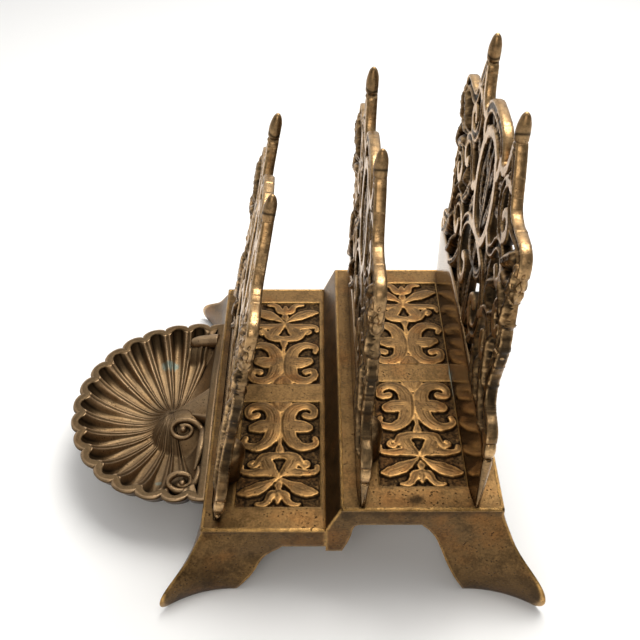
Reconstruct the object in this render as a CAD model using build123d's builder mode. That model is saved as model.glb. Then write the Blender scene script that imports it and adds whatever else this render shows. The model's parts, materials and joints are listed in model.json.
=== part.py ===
from build123d import *
import os
from math import cos, radians, sin

os.makedirs("parts", exist_ok=True)

# Letter rack cast in brass. Millimetres, +Z up, the back at +Y, the dish at -Y,
# the length along X. It stands on z = 0, centred between its ends.

# Steps of the base
step_length = 160.0
lower_depth = 51.4
upper_depth = 65.6
riser_run = 6.0
lower_height = 33.2
riser_height = 13.2
top_thickness = 4.0
wall_thickness = 4.0
lower_apron = 10.8
upper_apron = 9.6
edge_round = 0.8

# Splayed feet
foot_flare_x = 16.0
front_flare = 17.6
rear_flare = 19.4
foot_thickness = 5.0
bracket_drop = 27.0
bracket_width = 6.8
bracket_root = 14.4
bracket_bow = 3.0

# Sunk panels with their raised leafwork
panel_length = 62.0
panel_width = 36.0
panel_bar = 12.0
panel_sink = 1.2
relief_drop = 0.15
lower_panel_gap = 13.2
upper_panel_gap = 16.1

# Standing plates
plate_thickness = 4.4
band_end = 79.0
leaf_thickness = 5.2
front_plate_setback = 6.3
middle_plate_setback = 8.7
rear_plate_setback = 54.6
front_lean = 11.2
middle_lean = 1.9
rear_lean = 2.4
front_band = 6.8
middle_band = 18.0
rear_band = 32.0
front_stretch = 1.07
front_narrowing = 0.95

# Lugs and fasteners
lug_offset = 50.0
lug_radius = 6.0
lug_height = 21.0
lug_screw_setback = 3.0
screw_diameter = 3.6
screw_depth = 11.0
hole_gap = 0.2
head_diameter = 6.2
head_height = 2.6
slot_width = 1.0
slot_depth = 1.2
washer_diameter = 7.4
washer_thickness = 0.8
join_offset = 62.0
nut_width = 6.2
nut_height = 3.0
thread_end = 0.8

# Shell dish
shell_half_width = 63.8
shell_reach = 69.3
shell_root = 21.5
shell_rim_height = 26.7
shell_depth = 17.0
shell_wall = 3.0
shell_back_wall = 4.6
shell_floor_share = 0.68
shell_side_bulge = 2.4
shell_side_place = 0.7
shell_flutes = 17
flute_arc = 190.0
flute_depth = 1.2
flute_start = 9.0
rim_lobe = 7.0
rim_land = 5.0
flute_foot = 2.0
flute_head = 9.0
flute_rise = 1.0
flute_foot_radius = 5.2
flute_head_radius = 5.6
flute_start_radius = 0.7
flange_half_length = 33.0
flange_rise = 3.5
curls = [(15.0, 4.6), (47.0, 5.0)]
curl_setback = 6.0
curl_drop = 3.0
foot_clearance = 0.4
dish_screw_offset = 24.0
dish_screw_bite = 3.6

# Heights and places that follow
upper_height = lower_height + riser_height
lower_arch = lower_height - lower_apron
upper_arch = upper_height - upper_apron
base_depth = lower_depth + riser_run + upper_depth
front_face = (shell_reach - base_depth - rear_flare) / 2
joint_face = front_face + lower_depth
upper_front = joint_face + riser_run
rear_face = upper_front + upper_depth
half_length = step_length / 2
bracket_foot = upper_height - bracket_drop
dish_centre = front_face - shell_reach + shell_half_width
root_place = front_face - shell_root - dish_centre

# Leafwork of one panel: distance from its outer end, distance from its middle line,
# with the half width of the stroke at each point
panel_strokes = [
    ([(53.3, 11.2), (52.7, 14.4), (56.2, 15.3), (59.1, 12.6), (59.1, 7.9), (54.9, 4.1),
      (47.9, 3.3), (40.5, 4.1), (34.6, 8.2), (33.8, 12.6), (36.4, 16.2), (39.0, 15.6)],
     [1.3, 1.2, 1.3, 1.6, 2.1, 2.5, 2.9, 2.5, 2.0, 1.4, 1.0, 0.8]),
    ([(46.6, 4.8), (46.4, 9.0), (45.4, 12.4)], [2.8, 2.8, 1.8]),
    ([(28.9, 0.4), (28.6, 3.2), (26.8, 6.6), (24.4, 9.3)], [1.2, 1.6, 2.4, 1.1]),
    ([(16.9, 0.6), (19.6, 2.9), (22.6, 4.9), (26.0, 6.2)], [0.5, 1.8, 2.4, 2.2]),
    ([(19.4, 2.8), (19.3, 8.0), (18.9, 13.0), (20.2, 16.5), (22.4, 16.6)],
     [1.8, 1.6, 1.1, 0.8, 0.7]),
    ([(24.2, 9.3), (22.3, 11.5), (23.5, 12.9), (24.9, 11.8)], [0.9, 0.7, 0.7, 0.7]),
    ([(15.6, 0.9), (13.0, 4.0), (10.2, 8.5), (8.3, 13.0), (7.6, 16.8)],
     [0.4, 1.2, 2.4, 2.0, 0.5]),
    ([(7.6, 0.4), (6.6, 2.8), (3.8, 4.0), (1.7, 6.0), (1.6, 9.0)],
     [1.2, 1.5, 1.2, 1.0, 0.5]),
]
panel_middle_strokes = [
    ([(61.8, 0.0), (59.0, 0.0), (56.0, 0.0)], [3.8, 2.6, 0.5]),
    ([(40.4, 0.0), (34.8, 0.0), (31.6, 0.0)], [0.4, 0.6, 1.4]),
    ([(13.8, 0.0), (11.5, 0.0), (9.3, 0.0)], [0.4, 1.3, 0.5]),
    ([(7.8, 0.0), (6.4, 0.0), (3.0, 0.0)], [1.6, 1.4, 0.5]),
]

# Scrollwork of one half of a plate: distance from the middle, height above the band
plate_strokes = [
    ([(71.4, 4.0), (73.6, 2.6), (75.4, 4.4), (74.2, 7.4), (69.8, 8.8), (64.6, 11.4), (61.6, 18),
      (61.8, 26), (63.6, 35), (64.6, 44), (61.6, 51.4), (55, 53), (50, 48.4), (51, 42.4),
      (56, 40.8), (58.4, 44.4)],
     [1.4, 1.7, 2.1, 2.3, 2.4, 2.3, 2.2, 2.3, 2.5, 2.6, 2.5, 2.4, 2.2, 2.0, 1.8, 1.9]),
    ([(33.2, 105.6), (38.6, 95.4), (44.6, 84.8), (53, 83.4), (61.6, 83.6), (66.6, 81.8),
      (67.4, 77.6)],
     [2.3, 2.3, 2.6, 2.4, 2.6, 2.8, 2.6]),
    ([(32.4, 106.5), (32.2, 110.6), (32.4, 114), (32.8, 117.2)], [2.4, 3.1, 2.7, 1.3]),
    ([(0, 99.7), (7.2, 99.4), (13, 97.6), (17, 93), (18, 87.4), (15.6, 83), (11.6, 83.8),
      (11.6, 87.8)],
     [2.3, 2.3, 2.3, 2.3, 2.1, 1.9, 1.7, 1.9]),
    ([(31.4, 105), (29.8, 98), (27.2, 92.6), (22.6, 89.8), (17.6, 90.6)],
     [1.7, 1.7, 1.8, 1.8, 1.7]),
    ([(40.6, 92.6), (35.4, 93), (30.4, 89.4), (28.2, 82.4), (31, 75.2), (37.6, 72),
      (43.4, 75), (43.8, 80.4), (39.6, 82.6), (36.8, 79.6)],
     [1.6, 2.0, 2.3, 2.5, 2.5, 2.3, 2.1, 1.9, 1.8, 1.9]),
    ([(0, 91.6), (7.2, 89.8), (12.8, 83.8), (15.8, 75.4), (16.4, 65.6), (13.6, 54), (7.8, 47.6),
      (0, 46)],
     [1.9, 2.0, 2.1, 2.2, 2.2, 2.1, 2.0, 1.9]),
    ([(16.8, 60), (23, 56), (29, 59), (33.6, 65.4), (40, 68), (46.6, 64.8), (47.6, 58.4),
      (43, 55.2), (39.4, 58)],
     [1.7, 2.2, 2.5, 2.5, 2.4, 2.2, 2.0, 1.8, 1.9]),
    ([(3, 45.4), (12.6, 44), (21.8, 39.8), (27.8, 31.6), (28.2, 21.6), (23.4, 13.8),
      (15.4, 12), (10.6, 17), (12.6, 23.4), (17.8, 23)],
     [1.6, 2.0, 2.5, 2.7, 2.7, 2.5, 2.2, 2.0, 1.8, 2.0]),
    ([(28.6, 27), (34.2, 33.6), (41, 35.8), (47.6, 32.8), (49.8, 26), (46, 20.4),
      (40.4, 20.8), (39.2, 25.8)],
     [1.6, 2.2, 2.5, 2.5, 2.3, 2.1, 1.8, 2.0]),
]
plate_leaves = [
    ([(63, 82.4), (58.4, 76.4), (52.8, 71.6), (46.6, 65.4)], [1.4, 3.4, 3.2, 1.2]),
    ([(28.4, 22), (31.4, 12), (37, 4.6), (45, 0.2)], [1.8, 2.6, 2.6, 1.8]),
    ([(49.6, 27), (53.6, 18), (59, 9.6), (65, 4), (71, 1.8)], [1.2, 3.0, 3.2, 2.6, 1.8]),
    ([(62, 13.6), (57.4, 20), (54, 29), (53.6, 39.4)], [1.2, 2.8, 3.2, 1.6]),
    ([(63, 50), (65, 55), (64.4, 60), (62.8, 65)], [1.8, 2.6, 2.3, 1.6]),
    ([(67.2, 78), (66.8, 73), (65, 68.6), (63, 64.4)], [1.9, 3.0, 2.8, 1.8]),
    ([(15.4, 78), (21.6, 82.6), (28.4, 83.6)], [1.4, 2.5, 1.4]),
    ([(29, 59), (29.8, 49.6), (34.4, 42), (40, 36.4)], [1.4, 2.8, 2.4, 1.4]),
    ([(47.6, 59), (53.4, 60), (59.4, 56.4), (63.4, 50.4)], [1.4, 2.7, 2.5, 1.4]),
    ([(46.6, 66.4), (53.4, 65.6), (60, 66.6), (64, 69)], [1.4, 2.3, 2.2, 1.4]),
    ([(34.4, 66), (32.6, 70.4), (34, 75)], [1.4, 2.2, 1.4]),
    ([(43, 36.4), (45.8, 41), (51, 44.6)], [1.4, 2.2, 1.4]),
    ([(6, 91), (9.4, 94.2), (12.6, 97)], [1.2, 2.0, 1.2]),
    ([(1, 0), (6, 9), (8.6, 14), (10.6, 17.4)], [1.6, 2.4, 2.2, 1.2]),
    ([(1, 30), (6, 30.4), (11, 33), (15, 40), (16, 43)], [1.1, 2.4, 2.8, 2.0, 1.2]),
    ([(2, 52), (7.4, 60), (10.6, 69), (10, 79)], [1.1, 2.6, 2.6, 1.0]),
    ([(1.6, 69), (5.4, 76.6), (7.2, 83.4), (6, 89.4)], [1.0, 2.3, 2.2, 1.2]),
    ([(40.4, 20.4), (43.4, 12), (49, 4), (53, 0.2)], [1.2, 2.6, 2.6, 1.6]),
    ([(22, 14), (19, 7), (13, 0.2)], [1.4, 2.6, 1.6]),
    ([(36.4, 98), (34.6, 95), (33.4, 92)], [1.2, 2.2, 1.2]),
    ([(16.6, 71), (23.4, 72), (29.4, 78)], [1.2, 2.7, 1.4]),
    ([(15.4, 56), (20.8, 49), (24.4, 38.6)], [1.2, 2.9, 1.4]),
    ([(31.6, 47.4), (37, 49.6), (43, 55.4)], [1.2, 2.5, 1.2]),
    ([(0, -1), (0, 11), (0, 23), (0, 30)], [2.6, 3.8, 2.6, 1.0]),
    ([(0, 30), (0, 38), (0, 45)], [1.2, 3.2, 1.6]),
    ([(0, 47), (0, 61), (0, 74), (0, 86)], [1.6, 3.6, 3.8, 1.1]),
    ([(0, 91), (0, 95.4), (0, 99)], [1.6, 3.0, 1.6]),
]


def stroke_face(points, half_widths, samples=3):
    """Closed outline of a stroke that swells and thins along a curve."""
    spine = Spline(*points, mode=Mode.PRIVATE)
    count = len(points)
    steps = samples * (count - 1)
    shares = [spine.param_at_point(Vector(*point)) for point in points]
    left = []
    right = []
    for step in range(steps + 1):
        span = min(step // samples, count - 2)
        part = (step - span * samples) / samples
        share = shares[span] + part * (shares[span + 1] - shares[span])
        width = half_widths[span] + part * (half_widths[span + 1] - half_widths[span])
        here = spine.position_at(share)
        along = spine.tangent_at(share)
        side = Vector(-along.Y, along.X) * width
        left.append(here + side)
        right.append(here - side)
    start = spine.position_at(0) - spine.tangent_at(0) * half_widths[0]
    end = spine.position_at(1) + spine.tangent_at(1) * half_widths[-1]
    with BuildSketch() as stroke:
        with BuildLine():
            Spline(*left)
            ThreePointArc(left[-1], end, right[-1])
            Spline(*reversed(right))
            ThreePointArc(right[0], start, left[0])
        make_face()
    return stroke.face()


# Leafwork of one panel, drawn from its outer end towards the bar
with BuildSketch() as leafwork:
    for points, half_widths in panel_strokes:
        add(stroke_face(points, half_widths))
    mirror(about=Plane.XZ)
    for points, half_widths in panel_middle_strokes:
        add(stroke_face(points, half_widths))
    with Locations((panel_length / 2, 0)):
        Rectangle(panel_length, panel_width, mode=Mode.INTERSECT)


# Foot outline by share of the step's height: flare, and how far the wings still reach
flare_law = [(0, 0.86), (0.11, 1.0), (0.22, 0.97), (0.35, 0.81), (0.5, 0.52), (0.66, 0.27),
             (0.82, 0.1), (0.97, 0)]
wing_law = [(0, 13.0), (0.35, 20.0), (0.7, 25.0), (0.9, 28.5), (1, 34.0), (2, 34.0)]
wing_end_share = 0.38
wing_bend_place = 0.58
wing_bend_share = 0.77


def between(law, share):
    """Value of a law at a share, in a straight line between its points."""
    for (low, low_value), (high, high_value) in zip(law, law[1:]):
        if share <= high:
            return low_value + (high_value - low_value) * (share - low) / (high - low)
    return law[-1][1]


def foot(side_x, side_y, corner_y, top, arch, flare_y):
    """One splayed foot, lofted through sections at rising heights."""
    with BuildPart() as leg:
        for share, flare in flare_law:
            height = share * top
            wing = between(wing_law, height / arch)
            end_share = wing_end_share * max(0, 1 - height / arch)
            out_x = foot_flare_x * flare
            out_y = flare_y * flare

            def place(x, y):
                return (side_x * (half_length + x), corner_y + side_y * y)

            def bend(out):
                return out * wing_bend_share * (end_share + wing_bend_place * (1 - end_share))

            thick = wall_thickness + (foot_thickness - wall_thickness) * (1 - share)
            face_x = [place(out_x * end_share, -wing),
                      place(bend(out_x), -wing + wing_bend_place * (wing + out_y)),
                      place(out_x, out_y)]
            face_y = [place(out_x, out_y),
                      place(-wing + wing_bend_place * (wing + out_x), bend(out_y)),
                      place(-wing, out_y * end_share)]
            back = [face_y[-1],
                    place(-wing, out_y * end_share - thick),
                    place(bend(out_x) * 0.6 - thick, bend(out_y) * 0.6 - thick),
                    place(out_x * end_share - thick, -wing),
                    face_x[0]]
            with BuildSketch(Plane.XY.offset(height)):
                with BuildLine():
                    Spline(*face_x)
                    Spline(*face_y)
                    Polyline(*back)
                make_face()
        loft()
    return leg.part


def panel_centres(middle_y):
    """Corner of each panel's outer end, with the direction it is drawn in."""
    outer_end = panel_bar / 2 + panel_length
    return [(-outer_end, middle_y, 1), (outer_end, middle_y, -1)]


lower_panel_y = front_face + lower_panel_gap + panel_width / 2
upper_panel_y = upper_front + upper_panel_gap + panel_width / 2
front_plate_y = front_face + front_plate_setback
middle_plate_y = upper_front + middle_plate_setback
rear_plate_y = upper_front + rear_plate_setback
hole_radius = screw_diameter / 2 + hole_gap
cavity_middle = lower_arch + (lower_apron - top_thickness) / 2
lug_places = [-lug_offset, lug_offset]

# Lower step
with BuildPart() as base_front:
    with BuildSketch(Plane.XY.offset(lower_arch)):
        with Locations((0, (front_face + joint_face) / 2)):
            Rectangle(step_length, lower_depth)
    extrude(amount=lower_apron)
    with BuildSketch(Plane.XY.offset(lower_arch)):
        with Locations((0, (front_face + joint_face) / 2)):
            Rectangle(step_length - 2 * wall_thickness, lower_depth - 2 * wall_thickness)
    extrude(amount=lower_apron - top_thickness, mode=Mode.SUBTRACT)
    add(foot(1, -1, front_face, lower_height, lower_arch, front_flare))
    add(foot(-1, -1, front_face, lower_height, lower_arch, front_flare))
    top_edges = base_front.faces().sort_by(Axis.Z)[-1].edges()
    fillet(top_edges.sort_by(Axis.Y)[:-1], radius=edge_round)
    for outer_x, middle_y, way in panel_centres(lower_panel_y):
        with BuildSketch(Plane.XY.offset(lower_height)):
            with Locations((outer_x + way * panel_length / 2, middle_y)):
                Rectangle(panel_length, panel_width)
        extrude(amount=-panel_sink, mode=Mode.SUBTRACT)
        with BuildSketch(Plane.XY.offset(lower_height - panel_sink)):
            with Locations(Location((outer_x, middle_y, 0), (0, 0, 0 if way > 0 else 180))):
                add(leafwork.sketch)
        extrude(amount=panel_sink - relief_drop)
    with Locations(*[(x, front_plate_y + lug_screw_setback, lower_height) for x in lug_places]):
        Hole(hole_radius, depth=top_thickness)
    with BuildSketch(Plane.XZ.offset(-front_face)):
        with Locations((-dish_screw_offset, cavity_middle), (dish_screw_offset, cavity_middle)):
            Circle(hole_radius)
    extrude(amount=-wall_thickness, mode=Mode.SUBTRACT)
    with BuildSketch(Plane.XZ.offset(-joint_face)):
        with Locations((-join_offset, cavity_middle), (join_offset, cavity_middle)):
            Circle(hole_radius)
    extrude(amount=wall_thickness, mode=Mode.SUBTRACT)
base_front.part.label = "base_front"
export_step(base_front.part, "parts/base_front.step")

# Upper step: top, sloping riser and rear apron in one section, with an end wall at
# each side whose front corner hangs down as a bracket against the lower step
with BuildPart() as base_rear:
    with BuildSketch(Plane.YZ.offset(-half_length)):
        with BuildLine():
            Polyline((joint_face, bracket_foot), (joint_face, lower_height), (upper_front, upper_height),
                     (rear_face, upper_height), (rear_face, upper_arch),
                     (rear_face - wall_thickness, upper_arch),
                     (rear_face - wall_thickness, upper_height - top_thickness),
                     (upper_front + wall_thickness, upper_height - top_thickness),
                     (joint_face + wall_thickness, lower_height),
                     (joint_face + wall_thickness, bracket_foot), close=True)
        make_face()
    extrude(amount=step_length)
    for end in (-1, 1):
        with BuildSketch(Plane.YZ.offset(end * half_length)):
            with BuildLine():
                Polyline((joint_face + bracket_width, bracket_foot), (joint_face, bracket_foot),
                         (joint_face, lower_height), (upper_front, upper_height),
                         (rear_face, upper_height), (rear_face, upper_arch),
                         (joint_face + bracket_root, upper_arch))
                Spline((joint_face + bracket_root, upper_arch),
                       (joint_face + (bracket_root + bracket_width) / 2,
                        (upper_arch + bracket_foot) / 2 + bracket_bow),
                       (joint_face + bracket_width, bracket_foot),
                       tangents=((-1, 0), (-0.4, -1)))
            make_face()
        extrude(amount=-end * wall_thickness)
    add(foot(1, 1, rear_face, upper_height, upper_arch, rear_flare))
    add(foot(-1, 1, rear_face, upper_height, upper_arch, rear_flare))
    top_edges = base_rear.faces().sort_by(Axis.Z)[-1].edges()
    fillet(top_edges, radius=edge_round)
    for outer_x, middle_y, way in panel_centres(upper_panel_y):
        with BuildSketch(Plane.XY.offset(upper_height)):
            with Locations((outer_x + way * panel_length / 2, middle_y)):
                Rectangle(panel_length, panel_width)
        extrude(amount=-panel_sink, mode=Mode.SUBTRACT)
        with BuildSketch(Plane.XY.offset(upper_height - panel_sink)):
            with Locations(Location((outer_x, middle_y, 0), (0, 0, 0 if way > 0 else 180))):
                add(leafwork.sketch)
        extrude(amount=panel_sink - relief_drop)
    for plate_y in (middle_plate_y, rear_plate_y):
        with Locations(*[(x, plate_y + lug_screw_setback, upper_height) for x in lug_places]):
            Hole(hole_radius, depth=top_thickness)
    with BuildSketch(Plane.XZ.offset(-joint_face)):
        with Locations((-join_offset, cavity_middle), (join_offset, cavity_middle)):
            Circle(hole_radius)
    extrude(amount=-wall_thickness, mode=Mode.SUBTRACT)
base_rear.part.label = "base_rear"
export_step(base_rear.part, "parts/base_rear.step")


def scrollwork(strokes, narrowing, stretch):
    """Both halves of a set of strokes as one sketch; strokes on the middle line come last."""
    with BuildSketch() as drawn:
        for points, half_widths in strokes:
            if points[1][0] > 0:
                add(stroke_face([(x * narrowing, y * stretch) for x, y in points], half_widths))
        mirror(about=Plane.YZ)
        for points, half_widths in strokes:
            if points[1][0] == 0:
                add(stroke_face([(x, y * stretch) for x, y in points], half_widths))
    return drawn.sketch


# Half-round lug with a domed head, standing on the back of a plate
with BuildPart() as lug:
    with BuildSketch(Plane.XZ.offset(lug_radius)):
        Circle(lug_radius)
    extrude(amount=-lug_height)
    with Locations((0, lug_height - lug_radius, 0)):
        Sphere(lug_radius)
    split(bisect_by=Plane.XY.offset(plate_thickness / 4), keep=Keep.BOTTOM)

# Standing plates: name, foot place, step height, lean, plain band, pattern's width and height
plates = [
    ("plate_front", front_plate_y, lower_height, front_lean, front_band, front_narrowing,
     front_stretch),
    ("plate_middle", middle_plate_y, upper_height, middle_lean, middle_band, 1.0, 1.0),
    ("plate_rear", rear_plate_y, upper_height, rear_lean, rear_band, 1.0, 1.0),
]
for name, plate_y, step_top, lean, band, narrowing, stretch in plates:
    upright = Plane(origin=(0, plate_y, step_top), x_dir=(1, 0, 0),
                    z_dir=(0, -cos(radians(lean)), sin(radians(lean))))
    back = upright.offset(-plate_thickness / 2)
    below = plate_thickness
    with BuildPart() as plate:
        with BuildSketch(back):
            with Locations((0, (band - below) / 2)):
                Rectangle(2 * band_end * narrowing, band + below)
            with Locations((0, band)):
                add(scrollwork(plate_strokes, narrowing, stretch))
        extrude(amount=plate_thickness)
        with BuildSketch(back):
            with Locations((0, band)):
                add(scrollwork(plate_leaves, narrowing, stretch))
        extrude(amount=leaf_thickness)
        for lug_x in lug_places:
            add(lug.part.moved(back.location * Location((lug_x, 0, 0))))
        split(bisect_by=Plane.XY.offset(step_top), keep=Keep.TOP)
        for lug_x in lug_places:
            with Locations(Location((lug_x, plate_y + lug_screw_setback, step_top), (180, 0, 0))):
                Hole(hole_radius, depth=screw_depth + hole_gap)
    plate.part.label = name
    export_step(plate.part, f"parts/{name}.step")

# Shell dish: a round pan with a lobed rim, cut off by the front of the base. Each
# flute runs from the root of the shell to its own lobe.
lobe_step = flute_arc / shell_flutes
lobe_angles = [-90 + lobe_step * (k - (shell_flutes - 1) / 2) for k in range(shell_flutes)]
hollow_radius = shell_half_width - rim_land
floor_radius = shell_half_width * shell_floor_share
dish_place = Location((0, dish_centre, shell_rim_height))
lobe_reach = shell_half_width - rim_lobe


def around(reach, angle, height):
    """Point at a distance and an angle about the middle of the dish."""
    return Vector(reach * cos(radians(angle)), reach * sin(radians(angle)), height)


with BuildPart() as shell_hollow:
    with BuildSketch(Plane.XZ):
        with BuildLine():
            Polyline((hollow_radius, 0), (hollow_radius, shell_depth), (0, shell_depth),
                     (0, -shell_depth), (floor_radius, -shell_depth))
            ThreePointArc((floor_radius, -shell_depth),
                          ((floor_radius + hollow_radius) / 2 + shell_side_bulge,
                           -shell_depth * shell_side_place),
                          (hollow_radius, 0))
        make_face()
    revolve(axis=Axis.Z)
    for angle in lobe_angles:
        root = Vector(0, root_place, flute_start_radius - shell_depth)
        foot_of_side = around(floor_radius + flute_foot, angle,
                              flute_foot_radius - flute_depth - shell_depth)
        head_of_side = around(shell_half_width - flute_head, angle, flute_rise)
        start = root + (foot_of_side - root).normalized() * flute_start
        courses = [(start, foot_of_side, flute_start_radius, flute_foot_radius),
                   (foot_of_side, head_of_side, flute_foot_radius, flute_head_radius)]
        for low, high, low_radius, high_radius in courses:
            with Locations(Plane(origin=low, z_dir=high - low).location):
                Cone(low_radius, high_radius, (high - low).length,
                     align=(Align.CENTER, Align.CENTER, Align.MIN))
    split(bisect_by=Plane.XZ.offset(dish_centre - front_face + shell_back_wall), keep=Keep.TOP)

with BuildPart() as shell_pan:
    with BuildSketch(Plane.XZ):
        with BuildLine():
            floor_height = -shell_depth - shell_wall
            Polyline((shell_half_width, -shell_wall), (shell_half_width, 0), (0, 0), (0, floor_height),
                     (floor_radius, floor_height))
            ThreePointArc((floor_radius, floor_height),
                          ((floor_radius + shell_half_width) / 2 + shell_side_bulge,
                           floor_height * shell_side_place),
                          (shell_half_width, -shell_wall))
        make_face()
    revolve(axis=Axis.Z)
    with BuildSketch(Plane.XY.offset(-2 * shell_depth)):
        Circle(shell_half_width - rim_lobe / 2)
        for angle in lobe_angles:
            with Locations((lobe_reach * cos(radians(angle)), lobe_reach * sin(radians(angle)))):
                Circle(rim_lobe)
    extrude(amount=3 * shell_depth, mode=Mode.INTERSECT)
    split(bisect_by=Plane.XZ.offset(dish_centre - front_face), keep=Keep.TOP)
    add(shell_hollow.part, mode=Mode.SUBTRACT)

with BuildPart() as shell_dish:
    add(shell_pan.part.moved(dish_place))
    with BuildSketch(Plane.XZ.offset(-front_face)):
        with Locations((0, shell_rim_height - shell_wall)):
            Rectangle(2 * flange_half_length, flange_rise + shell_wall, align=(Align.CENTER, Align.MIN))
    extrude(amount=shell_back_wall)
    for curl_x, curl_radius in curls:
        for side in (-1, 1):
            with BuildSketch(Plane.XY.offset(shell_rim_height - shell_depth - flute_depth)):
                with Locations((side * curl_x, front_face - shell_back_wall - curl_setback)):
                    Circle(curl_radius)
            extrude(amount=shell_depth + flute_depth - curl_drop)
    for side in (-1, 1):
        add(foot(side, -1, front_face - foot_clearance, lower_height, lower_arch, front_flare),
            mode=Mode.SUBTRACT)
    with BuildSketch(Plane.XZ.offset(-front_face)):
        with Locations((-dish_screw_offset, cavity_middle), (dish_screw_offset, cavity_middle)):
            Circle(hole_radius)
    extrude(amount=dish_screw_bite + hole_gap, mode=Mode.SUBTRACT)
shell_dish.part.label = "shell_dish"
export_step(shell_dish.part, "parts/shell_dish.step")


def screw(shank):
    """Slotted screw standing on its head: the underside of the head lies at z = 0."""
    with BuildPart() as turned:
        with BuildSketch(Plane.XY.offset(-head_height)):
            Circle(head_diameter / 2)
        extrude(amount=head_height)
        fillet(turned.edges().sort_by(Axis.Z)[0], radius=head_height / 3)
        with BuildSketch(Plane.XY.offset(-head_height)):
            Rectangle(head_diameter, slot_width)
        extrude(amount=slot_depth, mode=Mode.SUBTRACT)
        with BuildSketch():
            Circle(screw_diameter / 2)
        extrude(amount=shank)
        chamfer(turned.faces().sort_by(Axis.Z)[-1].edges(), length=screw_diameter / 8)
    return turned.part


# Plate screws with their washers, driven up through the top of a step into the lugs
for name, plate_y, step_top, *_ in plates:
    underside = step_top - top_thickness
    spots = [Location((x, plate_y + lug_screw_setback, underside)) for x in lug_places]
    plate_screw = screw(top_thickness + screw_depth + washer_thickness)
    with BuildPart() as screws:
        for spot in spots:
            add(plate_screw.moved(spot * Location((0, 0, -washer_thickness))))
    screws.part.label = name + "_screws"
    export_step(screws.part, f"parts/{name}_screws.step")
    with BuildPart() as washers:
        with BuildSketch(Plane.XY.offset(underside - washer_thickness)):
            with Locations(*[(x, plate_y + lug_screw_setback) for x in lug_places]):
                Circle(washer_diameter / 2)
                Circle(hole_radius, mode=Mode.SUBTRACT)
        extrude(amount=washer_thickness)
    washers.part.label = name + "_washers"
    export_step(washers.part, f"parts/{name}_washers.step")

# Dish screws, driven forward through the front apron
dish_screw = screw(wall_thickness + dish_screw_bite)
with BuildPart() as shell_dish_screws:
    for x in (-dish_screw_offset, dish_screw_offset):
        add(dish_screw.moved(Location((x, front_face + wall_thickness, cavity_middle), (90, 0, 0))))
shell_dish_screws.part.label = "shell_dish_screws"
export_step(shell_dish_screws.part, "parts/shell_dish_screws.step")

# Screws and hexagon nuts that hold the two steps together
join_screw = screw(2 * wall_thickness + nut_height + thread_end)
with BuildPart() as base_joining_screws:
    for x in (-join_offset, join_offset):
        add(join_screw.moved(Location((x, joint_face - wall_thickness, cavity_middle), (-90, 0, 0))))
base_joining_screws.part.label = "base_joining_screws"
export_step(base_joining_screws.part, "parts/base_joining_screws.step")
with BuildPart() as base_joining_nuts:
    with BuildSketch(Plane.XZ.offset(-joint_face - wall_thickness)):
        with Locations((-join_offset, cavity_middle), (join_offset, cavity_middle)):
            RegularPolygon(nut_width / 2, 6, major_radius=False)
            Circle(hole_radius, mode=Mode.SUBTRACT)
    extrude(amount=-nut_height)
base_joining_nuts.part.label = "base_joining_nuts"
export_step(base_joining_nuts.part, "parts/base_joining_nuts.step")
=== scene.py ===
import json
import math

import bpy
import numpy as np
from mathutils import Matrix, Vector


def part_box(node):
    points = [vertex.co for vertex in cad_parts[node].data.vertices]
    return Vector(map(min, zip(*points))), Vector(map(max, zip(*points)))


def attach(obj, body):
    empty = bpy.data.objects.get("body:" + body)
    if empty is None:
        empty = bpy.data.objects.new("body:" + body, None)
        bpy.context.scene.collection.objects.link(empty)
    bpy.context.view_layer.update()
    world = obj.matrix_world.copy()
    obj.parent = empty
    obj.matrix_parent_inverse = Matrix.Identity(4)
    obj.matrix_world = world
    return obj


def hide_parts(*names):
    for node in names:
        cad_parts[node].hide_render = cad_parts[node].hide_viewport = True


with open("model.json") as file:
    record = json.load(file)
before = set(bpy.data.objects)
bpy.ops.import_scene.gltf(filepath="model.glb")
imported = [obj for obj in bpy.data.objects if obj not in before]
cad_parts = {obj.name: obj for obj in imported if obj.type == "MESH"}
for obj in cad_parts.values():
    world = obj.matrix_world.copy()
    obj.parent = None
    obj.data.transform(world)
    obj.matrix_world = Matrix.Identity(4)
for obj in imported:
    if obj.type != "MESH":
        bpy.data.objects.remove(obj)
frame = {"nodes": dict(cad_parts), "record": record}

for spare in ("Cube", "Light", "Camera"):
    if spare in bpy.data.objects:
        bpy.data.objects.remove(bpy.data.objects[spare])
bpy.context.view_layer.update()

# Sizes are millimetres, apart from those of the studio and its lamps, which are metres
mm = 0.001
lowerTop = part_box("base_front")[1].z / mm
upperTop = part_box("base_rear")[1].z / mm
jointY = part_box("base_front")[1].y / mm
lowerDepth = 51.4
riserRun = 6.0
frontFace = jointY - lowerDepth
upperFront = jointY + riserRun

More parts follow.
